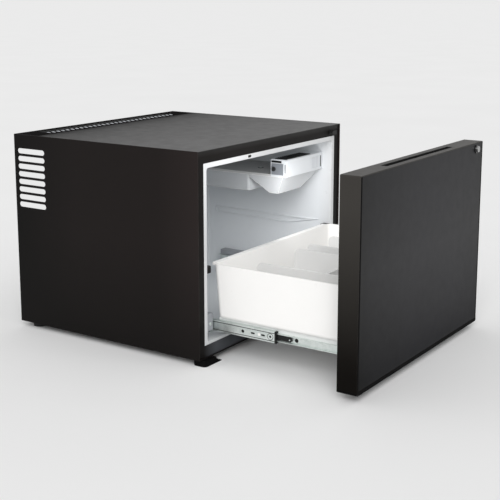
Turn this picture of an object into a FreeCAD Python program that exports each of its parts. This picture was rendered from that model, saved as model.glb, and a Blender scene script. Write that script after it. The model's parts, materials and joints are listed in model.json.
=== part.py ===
# Drawer minibar: an insulated cabinet, its absorption cooling unit and a drawer on telescopic rails.
# Millimetres. X runs to the right, Y to the back and Z up. The drawer is drawn pulled out.
import math
import os

import FreeCAD
import Part

# Cabinet box
CABINET_WIDTH = 560.0
CABINET_DEPTH = 498.0
CABINET_HEIGHT = 422.0
FOOT_HEIGHT = 13.0
SHEET = 1.2
HEM = 8.0

# Air slots in both side panels
SLOT_COUNT = 8
SLOT_LENGTH = 82.0
SLOT_HEIGHT = 11.5
SLOT_PITCH = 16.85
SLOT_DROP = 36.0
SLOT_REAR = 7.0

# Air grille in the top panel
GRILLE_LENGTH = 450.0
GRILLE_WIDTH = 50.0
GRILLE_REAR = 8.0
GRILLE_LIP = 5.0
GRILLE_THICK = 1.5
GRILLE_BARS = 30
GRILLE_BAR_WIDTH = 5.0
GRILLE_RIM = 6.0
GRILLE_SLOT = 16.0

# Front frame, liner and insulation
FRAME_RECESS = 3.0
FRAME_DEPTH = 20.0
FRAME_SIDE = 22.0
FRAME_BAR = 26.0
FLANGE_SIDE = 10.0
FLANGE_LOW = 6.0
LINER_WALL = 2.0
LINER_RADIUS = 6.0
REAR_FOAM = 36.0
REAR_SPACE = 99.0
BULKHEAD = 1.0
LEDGE_HEIGHT = 17.0
LEDGE_DEPTH = 3.0
LEDGE_RIB = 3.0
LEDGE_FRONT = 35.0
LEDGE_SLOPE = 85.0
LEDGE_REAR = 23.0
LEDGE_RISE = 145.0

# Door sensor window in the liner flange
SENSOR_INSET = 162.0
SENSOR_WIDTH = 12.0
SENSOR_HEIGHT = 5.0
SENSOR_DEPTH = 10.0
SENSOR_SINK = 0.3

# Lamp and thermostat housing
LAMP_WIDTH = 161.0
LAMP_DEPTH = 41.0
LAMP_HEIGHT = 40.0
LAMP_SETBACK = 25.0
LAMP_DROP = 29.5
LAMP_WALL = 3.0
LAMP_ROUND = 2.0
LENS_WIDTH = 36.0
LENS_HEIGHT = 26.0
LENS_RIGHT = 18.0
LENS_RIBS = 6
INSET = 1.5
LOUVRE_LENGTH = 108.0
LOUVRE_WIDTH = 30.0
LOUVRE_LEFT = 8.0
LOUVRE_SLATS = 12
LOUVRE_SLAT = 4.0
SLIT_WIDTH = 4.0
SLIT_RIGHT = 7.0
SIDE_SLIT_WIDTH = 2.0
SIDE_SLIT_BACK = 2.0
SIDE_SLIT_HEIGHT = 20.0
STAT_LENGTH = 32.0
STAT_HEIGHT = 26.0
STAT_BACK = 7.5
STAT_DROP = 9.0
VENT_LENGTH = 27.0
VENT_HEIGHT = 5.0
VENT_DROP = 2.5
SEAM_LEFT = 9.0
SEAM_WIDTH = 1.2
DIAL_RADIUS = 5.0
DIAL_PROUD = 2.5
DIAL_DEPTH = 2.0
DIAL_BACK = 8.0
DIAL_SLOT = 1.6

# Evaporator and drip tray
PLATE_THICK = 5.0
PLATE_REAR_GAP = 15.0
PLATE_SIDE_GAP = 5.0
PLATE_SCREW_LEFT = 67.0
PLATE_SCREW_BACK = 71.0
FIN_COUNT = 11
FIN_THICK = 2.0
FIN_HEIGHT = 24.0
FIN_BASE = 3.0
FIN_MARGIN = 8.0
TRAY_HEIGHT = 37.5
TRAY_WALL = 2.0
TRAY_SETBACK = 59.0
TRAY_ROUND = 6.0
GUTTER_FRONT = 9.0
GUTTER_FLOOR_FRONT = 22.0
GUTTER_FLOOR_REAR = 43.0
GUTTER_FLOOR_LENGTH = 95.0
GUTTER_REAR_DROP = 4.0
BLOCK_WIDTH = 60.0
BLOCK_HEIGHT = 30.0
BLOCK_PROUD = 6.0

# Drawer front
CLOSED_GAP = 8.0
PANEL_DROP = 14.0
PANEL_THICK = 42.0
PANEL_RISE = 2.0
PANEL_SKIN = 1.5
PANEL_BAND = 2.0
PANEL_LINER = 2.0
PANEL_CORNER = 3.0
BAND_SETBACK = 0.4
TRIM_HEIGHT = 7.0
TRIM_CORNER = 4.0
EDGE_STRIP = 4.0
GASKET_WIDTH = 10.0
GASKET_LAP = 1.0
GASKET_RADIUS = 30.0
GASKET_CLEARANCE = 0.3
HANDLE_LENGTH = 306.0
HANDLE_WIDTH = 16.0
HANDLE_DEPTH = 28.0
HANDLE_WALL = 1.5

# Lock
LOCK_EDGE = 36.0
LOCK_DROP = 14.0
LOCK_HEAD_RADIUS = 9.0
LOCK_PROUD = 6.0
LOCK_BODY_RADIUS = 8.0
LOCK_PLUG_RADIUS = 6.5
LOCK_RING_PROUD = 2.0
LOCK_TAIL_RADIUS = 5.0
LOCK_TAIL = 4.5
CAM_THICK = 2.0
CAM_REACH = 13.0
CAM_WIDTH = 7.0
CAM_SCREW_RADIUS = 3.0
CAM_SCREW = 1.4
KEY_SLOT_WIDTH = 1.6
KEY_SLOT_LENGTH = 8.0
KEY_SLOT_DEPTH = 4.0
KEEPER_SHEET = 1.5
KEEPER_WIDTH = 20.0
KEEPER_CLEARANCE = 1.0

# Telescopic rails
RAIL_REAR_GAP = 50.0
RAIL_OVERTRAVEL = 4.0
RAIL_HEIGHT = 32.0
RAIL_THICK = 12.5
RAIL_GAUGE = 1.2
RAIL_BEND = 2.0
RAIL_RACE = 2.8
RAIL_RISE = 29.0
RAIL_SPACER = 19.0
RAIL_SETBACK = 7.0
RAIL_CAGE_SPACE = 2.2
RAIL_LIP_GAP = 1.6
OUTER_FLANGE_GAP = 2.0
MIDDLE_FLANGE_GAP = 1.0
MIDDLE_HOLE_RADIUS = 2.6
MIDDLE_HOLE_LEAD = 10.0
SIGHT_HOLE_RADIUS = 3.6
SIGHT_HOLE_LEAD = 75.0
RING_RADIUS = 6.5
RING_WIDTH = 1.2
MIDDLE_SLOTS = (24.0, 48.0)
TRACK_IN = 4.0
TRACK_WIDTH = 1.4
TRACK_DEPTH = 0.4
MIDDLE_SLOT_LENGTH = 6.0
MIDDLE_SLOT_RADIUS = 1.8
INNER_HOLE_RADIUS = 4.2
INNER_HOLE_LEAD = 13.0
INNER_PILOT_RADIUS = 1.3
INNER_PILOT_LEAD = 41.0
CAGE_LENGTH = 120.0
CAGE_FRONT_GAP = 4.0
CAGE_SHEET = 0.6
CAGE_BALLS = 6
BALL_CLEARANCE = 0.1
CAGE_HOLE_CLEARANCE = 0.15
CAP_LENGTH = 4.0
CAP_CLEARANCE = 0.5
LEVER_LENGTH = 34.0
LEVER_HEIGHT = 9.5
LEVER_THICK = 2.6
LEVER_BOSS = 1.5
LEVER_BOSS_RADIUS = 3.2
LEVER_PIN_RADIUS = 1.5
LEVER_GAP = 2.0

# Rail brackets and side bumpers
BRACKET_SHEET = 1.2
BRACKET_LOW = 21.0
BRACKET_HEIGHT = 35.0
BRACKET_FRONT = 1.0
BRACKET_SCREW_RISE = 14.0
BUMPER_WIDTH = 14.0
BUMPER_LENGTH = 20.0
BUMPER_HEIGHT = 15.0
BUMPER_RISE = 140.0
BUMPER_ROUND = 2.0

# Bin, dividers and carriers
BIN_FLOOR_GAP = 1.0
BIN_HEIGHT = 113.0
BIN_SIDE_GAP = 16.0
BIN_DRAFT = 6.0
BIN_FRONT_GAP = 3.0
BIN_REAR_GAP = 10.0
BIN_WALL = 2.5
BIN_CORNER = 12.0
BIN_BASE_ROUND = 8.0
BIN_LIP_REAR = 10.0
BIN_LIP_HEIGHT = 6.0
DIVIDER_THICK = 3.0
DIVIDER_DROP = 4.0
DIVIDER_REAR = 58.0
DIVIDER_FRONT = 12.0
DIVIDER_ROUND = 12.0
DIVIDER_SHARES = (-0.69, -0.06, 0.17, 0.57)
CROSS_DROP = 26.0
CROSS_SHARES = (0.58, 0.25, 0.49)
CARRIER_SHEET = 1.2
CARRIER_SHELF = 32.0
CARRIER_REAR = 10.0
CARRIER_SCREW_IN = 20.0

# Screws
SCREW_RADIUS = 3.5
SCREW_HEIGHT = 2.0
SCREW_SLOT = 0.9

# Feet
FOOT_INSET = 6.0
FOOT_STEM = 38.0
FOOT_TOE = 18.0
FOOT_ROUND = 8.0
FOOT_TOE_HEIGHT = 3.5
FOOT_TOE_TIP = 1.5
FOOT_FRONT = 10.0
FOOT_LENGTH = 32.0
REAR_FOOT_RADIUS = 16.0
REAR_FOOT_INSET = 30.0

# Cooling unit behind the bulkhead
UNIT_SETBACK = 46.0
VESSEL_RADIUS = 28.0
VESSEL_LENGTH = 190.0
VESSEL_RISE = 20.0
PIPE_RADIUS = 7.0
COIL_LENGTH = 150.0
COIL_SIDE_GAP = 40.0
COIL_RUNS = 6
COIL_GAP = 32.0
COIL_END_DROP = 58.0
BOILER_SIDE_GAP = 5.0
BOILER_WIDTH = 70.0
BOILER_DEPTH = 76.0
BOILER_RISE = 96.0
BOILER_DROP = 55.0
BOILER_ROUND = 8.0
CONDENSER_LENGTH = 195.0
CONDENSER_DROP = 50.0
CONDENSER_BEND = 20.0
CONDENSER_FINS = 22
CONDENSER_PITCH = 8.0
CONDENSER_FIN_SIZE = 58.0
CONDENSER_FIN_SHEET = 0.8
CONDENSER_FIN_START = 26.0
PIPE_FIT = 0.15
MOUNT_SHEET = 4.0
MOUNT_DEPTH = 40.0
MOUNT_INSET = 24.0
STRAP_GAP = 0.2

# Control box and mains inlet
CONTROL_SIDE_GAP = 24.0
CONTROL_WIDTH = 90.0
CONTROL_DEPTH = 56.0
CONTROL_RISE = 26.0
CONTROL_HEIGHT = 70.0
CONTROL_WALL = 2.0
CONTROL_ROUND = 3.0
INLET_WIDTH = 28.0
INLET_HEIGHT = 20.5
INLET_DEPTH = 22.0
INLET_FLANGE = 4.0
INLET_FLANGE_THICK = 2.0
INLET_WALL = 2.0
INLET_RECESS = 17.0
INLET_PIN_WIDTH = 2.0
INLET_PIN_HEIGHT = 4.0
INLET_PIN_LENGTH = 14.0
INLET_PIN_PITCH = 7.0
INLET_EARTH_RISE = 4.0

# Running fit of turning pieces
RUNNING_FIT = 0.06

# Cabinet planes
HALF_WIDTH = CABINET_WIDTH / 2
INSIDE_X = HALF_WIDTH - SHEET
BOTTOM = FOOT_HEIGHT
BASE_TOP = BOTTOM + SHEET
TOP = FOOT_HEIGHT + CABINET_HEIGHT
TOP_UNDER = TOP - SHEET
FRAME_X = HALF_WIDTH - FRAME_SIDE
FRAME_LOW = BOTTOM + FRAME_BAR
FRAME_HIGH = TOP - FRAME_BAR
FRAME_BACK = FRAME_RECESS + FRAME_DEPTH
CAVITY_X = FRAME_X - FLANGE_SIDE
CAVITY_LOW = FRAME_LOW + FLANGE_LOW
CAVITY_HIGH = FRAME_HIGH - FLANGE_SIDE
BULKHEAD_BACK = CABINET_DEPTH - REAR_SPACE
BULKHEAD_FRONT = BULKHEAD_BACK - BULKHEAD
CAVITY_BACK = BULKHEAD_FRONT - REAR_FOAM - LINER_WALL
SENSOR_X = SENSOR_INSET - FRAME_X

# Lamp, evaporator and tray planes
LAMP_LEFT = CAVITY_X - LAMP_WIDTH
LAMP_FRONT = FRAME_RECESS + LAMP_SETBACK
LAMP_BACK = LAMP_FRONT + LAMP_DEPTH
LAMP_TOP = CAVITY_HIGH - LAMP_DROP
LAMP_LOW = LAMP_TOP - LAMP_HEIGHT
PLATE_LOW = LAMP_LOW
PLATE_TOP = PLATE_LOW + PLATE_THICK
PLATE_RIGHT = CAVITY_X - PLATE_SIDE_GAP
PLATE_BACK = CAVITY_BACK - PLATE_REAR_GAP
TRAY_FRONT = LAMP_BACK + TRAY_SETBACK
TRAY_LOW = PLATE_LOW - TRAY_HEIGHT
DIAL_Y = LAMP_BACK - LAMP_DEPTH / 5
DIAL_Z = LAMP_TOP - STAT_DROP - STAT_HEIGHT / 2
BLOCK_LEFT = (LAMP_LEFT + PLATE_RIGHT - BLOCK_WIDTH) / 2

# Rail and travel
RAIL_FRONT = FRAME_RECESS + RAIL_SETBACK
RAIL_LENGTH = CAVITY_BACK - RAIL_REAR_GAP - RAIL_FRONT
DRAWER_TRAVEL = RAIL_LENGTH + RAIL_OVERTRAVEL

# Drawer planes
PANEL_BACK = -CLOSED_GAP - DRAWER_TRAVEL
PANEL_FRONT = PANEL_BACK - PANEL_THICK
PANEL_LOW = BOTTOM + PANEL_RISE
PANEL_HIGH = TOP - PANEL_DROP
TRIM_TOP = PANEL_LOW + TRIM_HEIGHT
BAND_IN_X = HALF_WIDTH - PANEL_BAND
BAND_IN_LOW = TRIM_TOP + PANEL_BAND
BAND_IN_HIGH = PANEL_HIGH - PANEL_BAND
HANDLE_Y = PANEL_BACK - PANEL_THICK / 2
LOCK_X = HALF_WIDTH - LOCK_EDGE
LOCK_Z = PANEL_HIGH - LOCK_DROP

# Rail planes, offsets counted from the outer face of the rail towards the bin
RAIL_X = CAVITY_X - RAIL_SPACER
RAIL_Z = CAVITY_LOW + RAIL_RISE
MIDDLE_FRONT = RAIL_FRONT - DRAWER_TRAVEL / 2
INNER_FRONT = RAIL_FRONT - DRAWER_TRAVEL
RAIL_STEP = RAIL_GAUGE + RAIL_RACE
MIDDLE_HEIGHT = RAIL_HEIGHT - 2 * RAIL_STEP
INNER_HEIGHT = MIDDLE_HEIGHT - 2 * RAIL_STEP
MIDDLE_WEB = RAIL_GAUGE + RAIL_CAGE_SPACE
INNER_LIP = MIDDLE_WEB + RAIL_GAUGE + RAIL_LIP_GAP
INNER_WEB = RAIL_THICK - RAIL_GAUGE
OUTER_LIP = RAIL_THICK - OUTER_FLANGE_GAP
MIDDLE_LIP = RAIL_THICK - MIDDLE_FLANGE_GAP
LEVER_PIN_Y = MIDDLE_FRONT - LEVER_GAP - LEVER_LENGTH + LEVER_BOSS_RADIUS

# Bin planes
BIN_LOW = RAIL_Z + RAIL_HEIGHT / 2 + BIN_FLOOR_GAP
BIN_TOP = BIN_LOW + BIN_HEIGHT
BIN_X = CAVITY_X - BIN_SIDE_GAP
BIN_FRONT = PANEL_BACK + BIN_FRONT_GAP
BIN_BACK = RAIL_FRONT - BIN_REAR_GAP
BIN_FLOOR = BIN_LOW + BIN_WALL
DIVIDER_X = [share * BIN_X for share in DIVIDER_SHARES]
CROSS_Y = [BIN_BACK - share * (BIN_BACK - BIN_FRONT) for share in CROSS_SHARES]

# Cooling unit planes
UNIT_Y = BULKHEAD_BACK + UNIT_SETBACK
CONDENSER_Z = TOP - CONDENSER_DROP
BOILER_LEFT = BLOCK_LEFT - BOILER_SIDE_GAP - BOILER_WIDTH
BOILER_X = BOILER_LEFT + BOILER_WIDTH / 2
BOILER_LOW = BASE_TOP + BOILER_RISE
BOILER_TOP = CONDENSER_Z - BOILER_DROP
CONDENSER_LEFT = BOILER_LEFT - CONDENSER_LENGTH
VESSEL_RIGHT = BOILER_LEFT + BOILER_WIDTH
VESSEL_LEFT = VESSEL_RIGHT - VESSEL_LENGTH
VESSEL_Z = BASE_TOP + VESSEL_RISE + VESSEL_RADIUS
COIL_RIGHT = BOILER_LEFT - COIL_SIDE_GAP
COIL_LEFT = COIL_RIGHT - COIL_LENGTH
COIL_LOW = VESSEL_Z + VESSEL_RADIUS + COIL_GAP
COIL_HIGH = BOILER_TOP - COIL_END_DROP
COIL_PITCH = (COIL_HIGH - COIL_LOW) / (COIL_RUNS - 1)
CONTROL_LEFT = CONTROL_SIDE_GAP - INSIDE_X
CONTROL_BACK = BULKHEAD_BACK + CONTROL_DEPTH

# The part's own frame stands on the floor, at the middle of its whole box
ORIGIN_Y = (CABINET_DEPTH + PANEL_FRONT - LOCK_PROUD) / 2

# Directions, and the angle in radians within which an edge counts as running along one
RIGHT = FreeCAD.Vector(1, 0, 0)
BACK = FreeCAD.Vector(0, 1, 0)
UP = FreeCAD.Vector(0, 0, 1)
ANGLE_SLACK = 0.01


def point(x, y, z):
    return FreeCAD.Vector(x, y, z)


def box(x0, x1, y0, y1, z0, z1):
    return Part.makeBox(x1 - x0, y1 - y0, z1 - z0, point(x0, y0, z0))


def rod(radius, start, end):
    line = end - start
    return Part.makeCylinder(radius, line.Length, start, line)


def edges_along(shape, axis):
    straight = [edge for edge in shape.Edges if isinstance(edge.Curve, Part.Line)]
    return [edge for edge in straight if edge.Curve.Direction.isParallel(axis, ANGLE_SLACK)]


def soft_box(x0, x1, y0, y1, z0, z1, radius, axis):
    block = box(x0, x1, y0, y1, z0, z1)
    return block.makeFillet(radius, edges_along(block, axis))


def joined(shapes):
    return shapes[0].multiFuse(shapes[1:]).removeSplitter()


def mirrored(shape):
    return shape.mirror(point(0, 0, 0), RIGHT)


def pair(shape):
    return Part.makeCompound([shape, mirrored(shape)])


def extruded(points, travel):
    outline = Part.makePolygon(points + [points[0]])
    return Part.Face(outline).extrude(travel)


def slot_bar(start, end, radius, travel):
    # A bar with two round ends, drawn between the centres of its ends
    along = end - start
    side = along.cross(travel).normalize() * radius
    block = extruded([start + side, end + side, end - side, start - side], travel)
    ends = [Part.makeCylinder(radius, travel.Length, centre, travel) for centre in (start, end)]
    return joined([block] + ends)


def screw_head(centre, outward):
    head = Part.makeCylinder(SCREW_RADIUS, SCREW_HEIGHT, centre, outward)
    rim = [edge for edge in head.Edges if edge.CenterOfMass.distanceToPoint(centre) > SCREW_HEIGHT / 2]
    head = head.makeFillet(SCREW_HEIGHT / 2, [edge for edge in rim if isinstance(edge.Curve, Part.Circle)])
    slot = box(-SCREW_RADIUS, SCREW_RADIUS, -SCREW_SLOT / 2, SCREW_SLOT / 2, SCREW_HEIGHT / 2, SCREW_HEIGHT * 2)
    slot.Placement = FreeCAD.Placement(centre, FreeCAD.Rotation(UP, outward))
    return head.cut(slot)


def bent_rod(points, bend, radius):
    # A round rod along a run of straight stretches with equal bends at the corners
    edges = []
    start = points[0]
    for before, corner, after in zip(points, points[1:], points[2:]):
        towards = (before - corner).normalize()
        away = (after - corner).normalize()
        reach = bend / math.tan(towards.getAngle(away) / 2)
        centre_way = (towards + away).normalize()
        centre = corner + centre_way * math.hypot(reach, bend)
        enter = corner + towards * reach
        leave = corner + away * reach
        if start.distanceToPoint(enter) > radius / 100:
            edges.append(Part.makeLine(start, enter))
        edges.append(Part.Arc(enter, centre - centre_way * bend, leave).toShape())
        start = leave
    edges.append(Part.makeLine(start, points[-1]))
    ring = Part.Wire(Part.makeCircle(radius, points[0], points[1] - points[0]))
    return Part.Wire(edges).makePipeShell([ring], True, False)


def save(name, shape):
    placed = shape.copy()
    placed.translate(point(0, -ORIGIN_Y, 0))
    placed.exportStep("parts/" + name + ".step")


# Cabinet shell


def side_panel():
    panel = box(-HALF_WIDTH, -INSIDE_X, 0, CABINET_DEPTH, BOTTOM, TOP)
    hem = box(-INSIDE_X, -INSIDE_X + HEM, CABINET_DEPTH - SHEET, CABINET_DEPTH, BASE_TOP, TOP_UNDER)
    radius = SLOT_HEIGHT / 2
    rear = CABINET_DEPTH - SLOT_REAR - radius
    front = CABINET_DEPTH - SLOT_REAR - SLOT_LENGTH + radius
    slots = []
    for number in range(SLOT_COUNT):
        height = TOP - SLOT_DROP - number * SLOT_PITCH
        start = point(-HALF_WIDTH, front, height)
        end = point(-HALF_WIDTH, rear, height)
        slots.append(slot_bar(start, end, radius, RIGHT * SHEET))
    return joined([panel, hem]).cut(Part.makeCompound(slots))


def grille_hole():
    back = CABINET_DEPTH - GRILLE_REAR
    return box(-GRILLE_LENGTH / 2, GRILLE_LENGTH / 2, back - GRILLE_WIDTH, back, TOP_UNDER, TOP)


def top_panel():
    sheet = box(-INSIDE_X, INSIDE_X, 0, CABINET_DEPTH, TOP_UNDER, TOP)
    reach = INSIDE_X - HEM
    hem = box(-reach, reach, CABINET_DEPTH - SHEET, CABINET_DEPTH, TOP_UNDER - HEM, TOP_UNDER)
    return joined([sheet, hem]).cut(grille_hole())


def top_grille():
    # A plate under the sheet, with a row of short slots along its front
    hole = grille_hole().BoundBox
    low = TOP_UNDER - GRILLE_THICK
    reach = hole.XMax + GRILLE_LIP
    plate = box(-reach, reach, hole.YMin - GRILLE_LIP, hole.YMax + GRILLE_LIP, low, TOP_UNDER)
    pitch = GRILLE_LENGTH / GRILLE_BARS
    front = hole.YMin + GRILLE_RIM
    gaps = []
    for number in range(GRILLE_BARS):
        left = hole.XMin + number * pitch + GRILLE_BAR_WIDTH / 2
        right = left + pitch - GRILLE_BAR_WIDTH
        gaps.append(box(left, right, front, front + GRILLE_SLOT, low, TOP_UNDER))
    return plate.cut(Part.makeCompound(gaps))


def base_plate():
    return box(-INSIDE_X, INSIDE_X, 0, CABINET_DEPTH, BOTTOM, BASE_TOP)


def front_frame():
    ring = box(-INSIDE_X, INSIDE_X, FRAME_RECESS, FRAME_BACK, BASE_TOP, TOP_UNDER)
    return ring.cut(box(-FRAME_X, FRAME_X, FRAME_RECESS, FRAME_BACK, FRAME_LOW, FRAME_HIGH))


def tub(wall):
    # The cold compartment's space, grown by a wall
    reach = CAVITY_X + wall
    block = box(-reach, reach, FRAME_RECESS, CAVITY_BACK + wall, CAVITY_LOW - wall, CAVITY_HIGH + wall)
    inner_edges = [edge for edge in block.Edges if edge.CenterOfMass.y > FRAME_RECESS + LINER_WALL]
    return block.makeFillet(LINER_RADIUS + wall, inner_edges)


def sensor_window(front, clearance):
    height = (FRAME_HIGH + CAVITY_HIGH) / 2
    radius = SENSOR_HEIGHT / 2
    half = SENSOR_WIDTH / 2 - radius
    start = point(SENSOR_X - half, front, height)
    end = point(SENSOR_X + half, front, height)
    back = FRAME_RECESS + SENSOR_DEPTH + clearance
    return slot_bar(start, end, radius + clearance, BACK * (back - front))


def evaporator_block():
    right = BLOCK_LEFT + BLOCK_WIDTH
    low = PLATE_TOP - BLOCK_HEIGHT
    return box(BLOCK_LEFT, right, PLATE_BACK, BULKHEAD_BACK + BLOCK_PROUD, low, PLATE_TOP)


def ledge_outline(inset):
    low = CAVITY_LOW + LEDGE_RISE
    front = FRAME_RECESS + LEDGE_FRONT
    back = CAVITY_BACK - LEDGE_REAR - inset
    lean = LEDGE_SLOPE / LEDGE_HEIGHT * inset
    slope_end = front + LEDGE_SLOPE
    high = low + LEDGE_HEIGHT - inset
    corners = [(front + 2 * lean, high), (back, high), (back, low + inset), (slope_end, low + inset)]
    return [point(CAVITY_X - LEDGE_DEPTH, y, z) for y, z in corners]


def wall_ledge():
    # A closed rib along the side wall, with a sloping front end
    reach = RIGHT * (LEDGE_DEPTH + LINER_WALL / 2)
    return extruded(ledge_outline(0), reach).cut(extruded(ledge_outline(LEDGE_RIB), reach))


def inner_liner():
    flange = box(-FRAME_X, FRAME_X, FRAME_RECESS, FRAME_RECESS + LINER_WALL, FRAME_LOW, FRAME_HIGH)
    shell = flange.fuse(tub(LINER_WALL)).cut(tub(0))
    ledge = wall_ledge()
    shell = joined([shell, ledge, mirrored(ledge)])
    return shell.cut(sensor_window(FRAME_RECESS, PIPE_FIT)).cut(evaporator_block())


def insulation_foam():
    body = box(-INSIDE_X, INSIDE_X, FRAME_BACK, BULKHEAD_FRONT, BASE_TOP, TOP_UNDER)
    throat = box(-FRAME_X, FRAME_X, FRAME_RECESS + LINER_WALL, FRAME_BACK, FRAME_LOW, FRAME_HIGH)
    foam = joined([body, throat]).cut(tub(LINER_WALL))
    return foam.cut(sensor_window(FRAME_RECESS, PIPE_FIT)).cut(evaporator_block())


def rear_bulkhead():
    sheet = box(-INSIDE_X, INSIDE_X, BULKHEAD_FRONT, BULKHEAD_BACK, BASE_TOP, TOP_UNDER)
    return sheet.cut(evaporator_block())


def front_foot():
    outer = -HALF_WIDTH + FOOT_INSET
    stem = outer + FOOT_STEM
    tip = stem + FOOT_TOE
    front = -FOOT_FRONT
    sweep = FOOT_HEIGHT - FOOT_TOE_HEIGHT
    centre = point(stem + sweep, front, FOOT_HEIGHT)
    deep = centre + point(-sweep, 0, -sweep) * math.sqrt(0.5)
    top = point(stem, front, FOOT_HEIGHT)
    toe = point(stem + sweep, front, FOOT_TOE_HEIGHT)
    corners = [toe, point(tip, front, FOOT_TOE_TIP), point(tip, front, 0), point(outer, front, 0)]
    corners = corners + [point(outer, front, FOOT_HEIGHT), top]
    edges = [Part.makeLine(start, end) for start, end in zip(corners, corners[1:])]
    edges.append(Part.Arc(top, deep, toe).toShape())
    foot = Part.Face(Part.Wire(edges)).extrude(BACK * FOOT_LENGTH)
    upright = [edge for edge in edges_along(foot, UP) if edge.BoundBox.XMax < outer + FOOT_ROUND]
    return foot.makeFillet(FOOT_ROUND, upright)


def rear_foot():
    x = -HALF_WIDTH + REAR_FOOT_INSET
    y = CABINET_DEPTH - REAR_FOOT_INSET
    return rod(REAR_FOOT_RADIUS, point(x, y, 0), point(x, y, FOOT_HEIGHT))


# Cold compartment fittings


def lens_block():
    right = CAVITY_X - LENS_RIGHT
    middle = (LAMP_LOW + LAMP_TOP) / 2
    half = LENS_HEIGHT / 2
    return box(right - LENS_WIDTH, right, LAMP_FRONT, LAMP_FRONT + INSET, middle - half, middle + half)


def lamp_lens():
    block = lens_block()
    edge = block.BoundBox
    pitch = LENS_WIDTH / LENS_RIBS
    front = edge.YMin - INSET / 2
    ribs = []
    for number in range(LENS_RIBS):
        left = edge.XMin + number * pitch + pitch / 4
        ribs.append(box(left, left + pitch / 2, front, edge.YMin, edge.ZMin, edge.ZMax))
    return joined([block] + ribs)


def louvre_block():
    left = LAMP_LEFT + LOUVRE_LEFT
    middle = (LAMP_FRONT + LAMP_BACK) / 2
    half = LOUVRE_WIDTH / 2
    return box(left, left + LOUVRE_LENGTH, middle - half, middle + half, LAMP_TOP - INSET, LAMP_TOP)


def slit_block():
    right = CAVITY_X - SLIT_RIGHT
    middle = (LAMP_LOW + LAMP_TOP) / 2
    half = LENS_HEIGHT / 2
    return box(right - SLIT_WIDTH, right, LAMP_FRONT, LAMP_FRONT + INSET, middle - half, middle + half)


def side_slit_block():
    # Narrow dark slit near the front edge of the housing's left face
    front = LAMP_FRONT + SIDE_SLIT_BACK
    middle = (LAMP_LOW + LAMP_TOP) / 2
    half = SIDE_SLIT_HEIGHT / 2
    return box(LAMP_LEFT, LAMP_LEFT + INSET, front, front + SIDE_SLIT_WIDTH, middle - half, middle + half)


def vent_block():
    # Dark vent above the thermostat plate
    high = LAMP_TOP - VENT_DROP
    back = LAMP_FRONT + STAT_BACK + STAT_LENGTH
    return box(LAMP_LEFT, LAMP_LEFT + INSET, back - VENT_LENGTH, back, high - VENT_HEIGHT, high)


def seam_groove():
    left = LAMP_LEFT + SEAM_LEFT
    return box(left, left + SEAM_WIDTH, LAMP_FRONT, LAMP_FRONT + INSET, LAMP_LOW, LAMP_TOP)


def lamp_louvre():
    block = louvre_block()
    edge = block.BoundBox
    pitch = LOUVRE_LENGTH / LOUVRE_SLATS
    slats = [block]
    for number in range(LOUVRE_SLATS):
        left = edge.XMin + (number + 0.5) * pitch - LOUVRE_SLAT / 2
        slats.append(box(left, left + LOUVRE_SLAT, edge.YMin, edge.YMax, LAMP_TOP, LAMP_TOP + INSET))
    return Part.makeCompound([joined(slats), slit_block(), side_slit_block(), vent_block()])


def stat_block():
    front = LAMP_FRONT + STAT_BACK
    high = LAMP_TOP - STAT_DROP
    return box(LAMP_LEFT, LAMP_LEFT + INSET, front, front + STAT_LENGTH, high - STAT_HEIGHT, high)


def dial_rod(clearance):
    start = point(LAMP_LEFT - DIAL_PROUD, DIAL_Y, DIAL_Z)
    return rod(DIAL_RADIUS + clearance, start, point(LAMP_LEFT + DIAL_BACK, DIAL_Y, DIAL_Z))


def thermostat_plate():
    return stat_block().cut(dial_rod(RUNNING_FIT))


def thermostat_dial():
    face = LAMP_LEFT - DIAL_PROUD
    slot = box(
        face, face + DIAL_DEPTH, DIAL_Y - DIAL_SLOT / 2, DIAL_Y + DIAL_SLOT / 2, DIAL_Z - DIAL_RADIUS,
        DIAL_Z + DIAL_RADIUS,
    )
    return dial_rod(0).cut(slot)


def lamp_housing():
    outer = box(LAMP_LEFT, CAVITY_X, LAMP_FRONT, LAMP_BACK, LAMP_LOW, LAMP_TOP)
    seen = [edge for edge in edges_along(outer, RIGHT) if edge.CenterOfMass.y < LAMP_BACK - LAMP_WALL]
    outer = outer.makeFillet(LAMP_ROUND, seen)
    hollow = box(
        LAMP_LEFT + LAMP_WALL, CAVITY_X - LAMP_WALL, LAMP_FRONT + LAMP_WALL, LAMP_BACK - LAMP_WALL,
        LAMP_LOW + LAMP_WALL, LAMP_TOP - LAMP_WALL,
    )
    dark = [louvre_block(), slit_block(), side_slit_block(), vent_block()]
    insets = dark + [lens_block(), stat_block(), seam_groove(), dial_rod(RUNNING_FIT)]
    shell = outer.cut(hollow)
    for inset in insets:
        shell = shell.cut(inset)
    return shell


def evaporator_plate():
    return box(LAMP_LEFT, PLATE_RIGHT, LAMP_BACK, PLATE_BACK, PLATE_LOW, PLATE_TOP)


def evaporator_fins():
    left = LAMP_LEFT + TRAY_WALL + FIN_MARGIN
    right = PLATE_RIGHT - TRAY_WALL - FIN_MARGIN
    front = TRAY_FRONT + TRAY_WALL + FIN_MARGIN
    back = PLATE_BACK - TRAY_WALL - FIN_MARGIN
    pitch = (right - left - FIN_THICK) / (FIN_COUNT - 1)
    shapes = [box(left, right, front, back, PLATE_LOW - FIN_BASE, PLATE_LOW)]
    for number in range(FIN_COUNT):
        start = left + number * pitch
        low = PLATE_LOW - FIN_BASE - FIN_HEIGHT
        shapes.append(box(start, start + FIN_THICK, front, back, low, PLATE_LOW - FIN_BASE))
    return joined(shapes)


def tray_box(wall):
    return soft_box(
        LAMP_LEFT + wall, PLATE_RIGHT - wall, TRAY_FRONT + wall, PLATE_BACK - wall, TRAY_LOW + wall, PLATE_LOW,
        TRAY_ROUND - wall, UP,
    )


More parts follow.
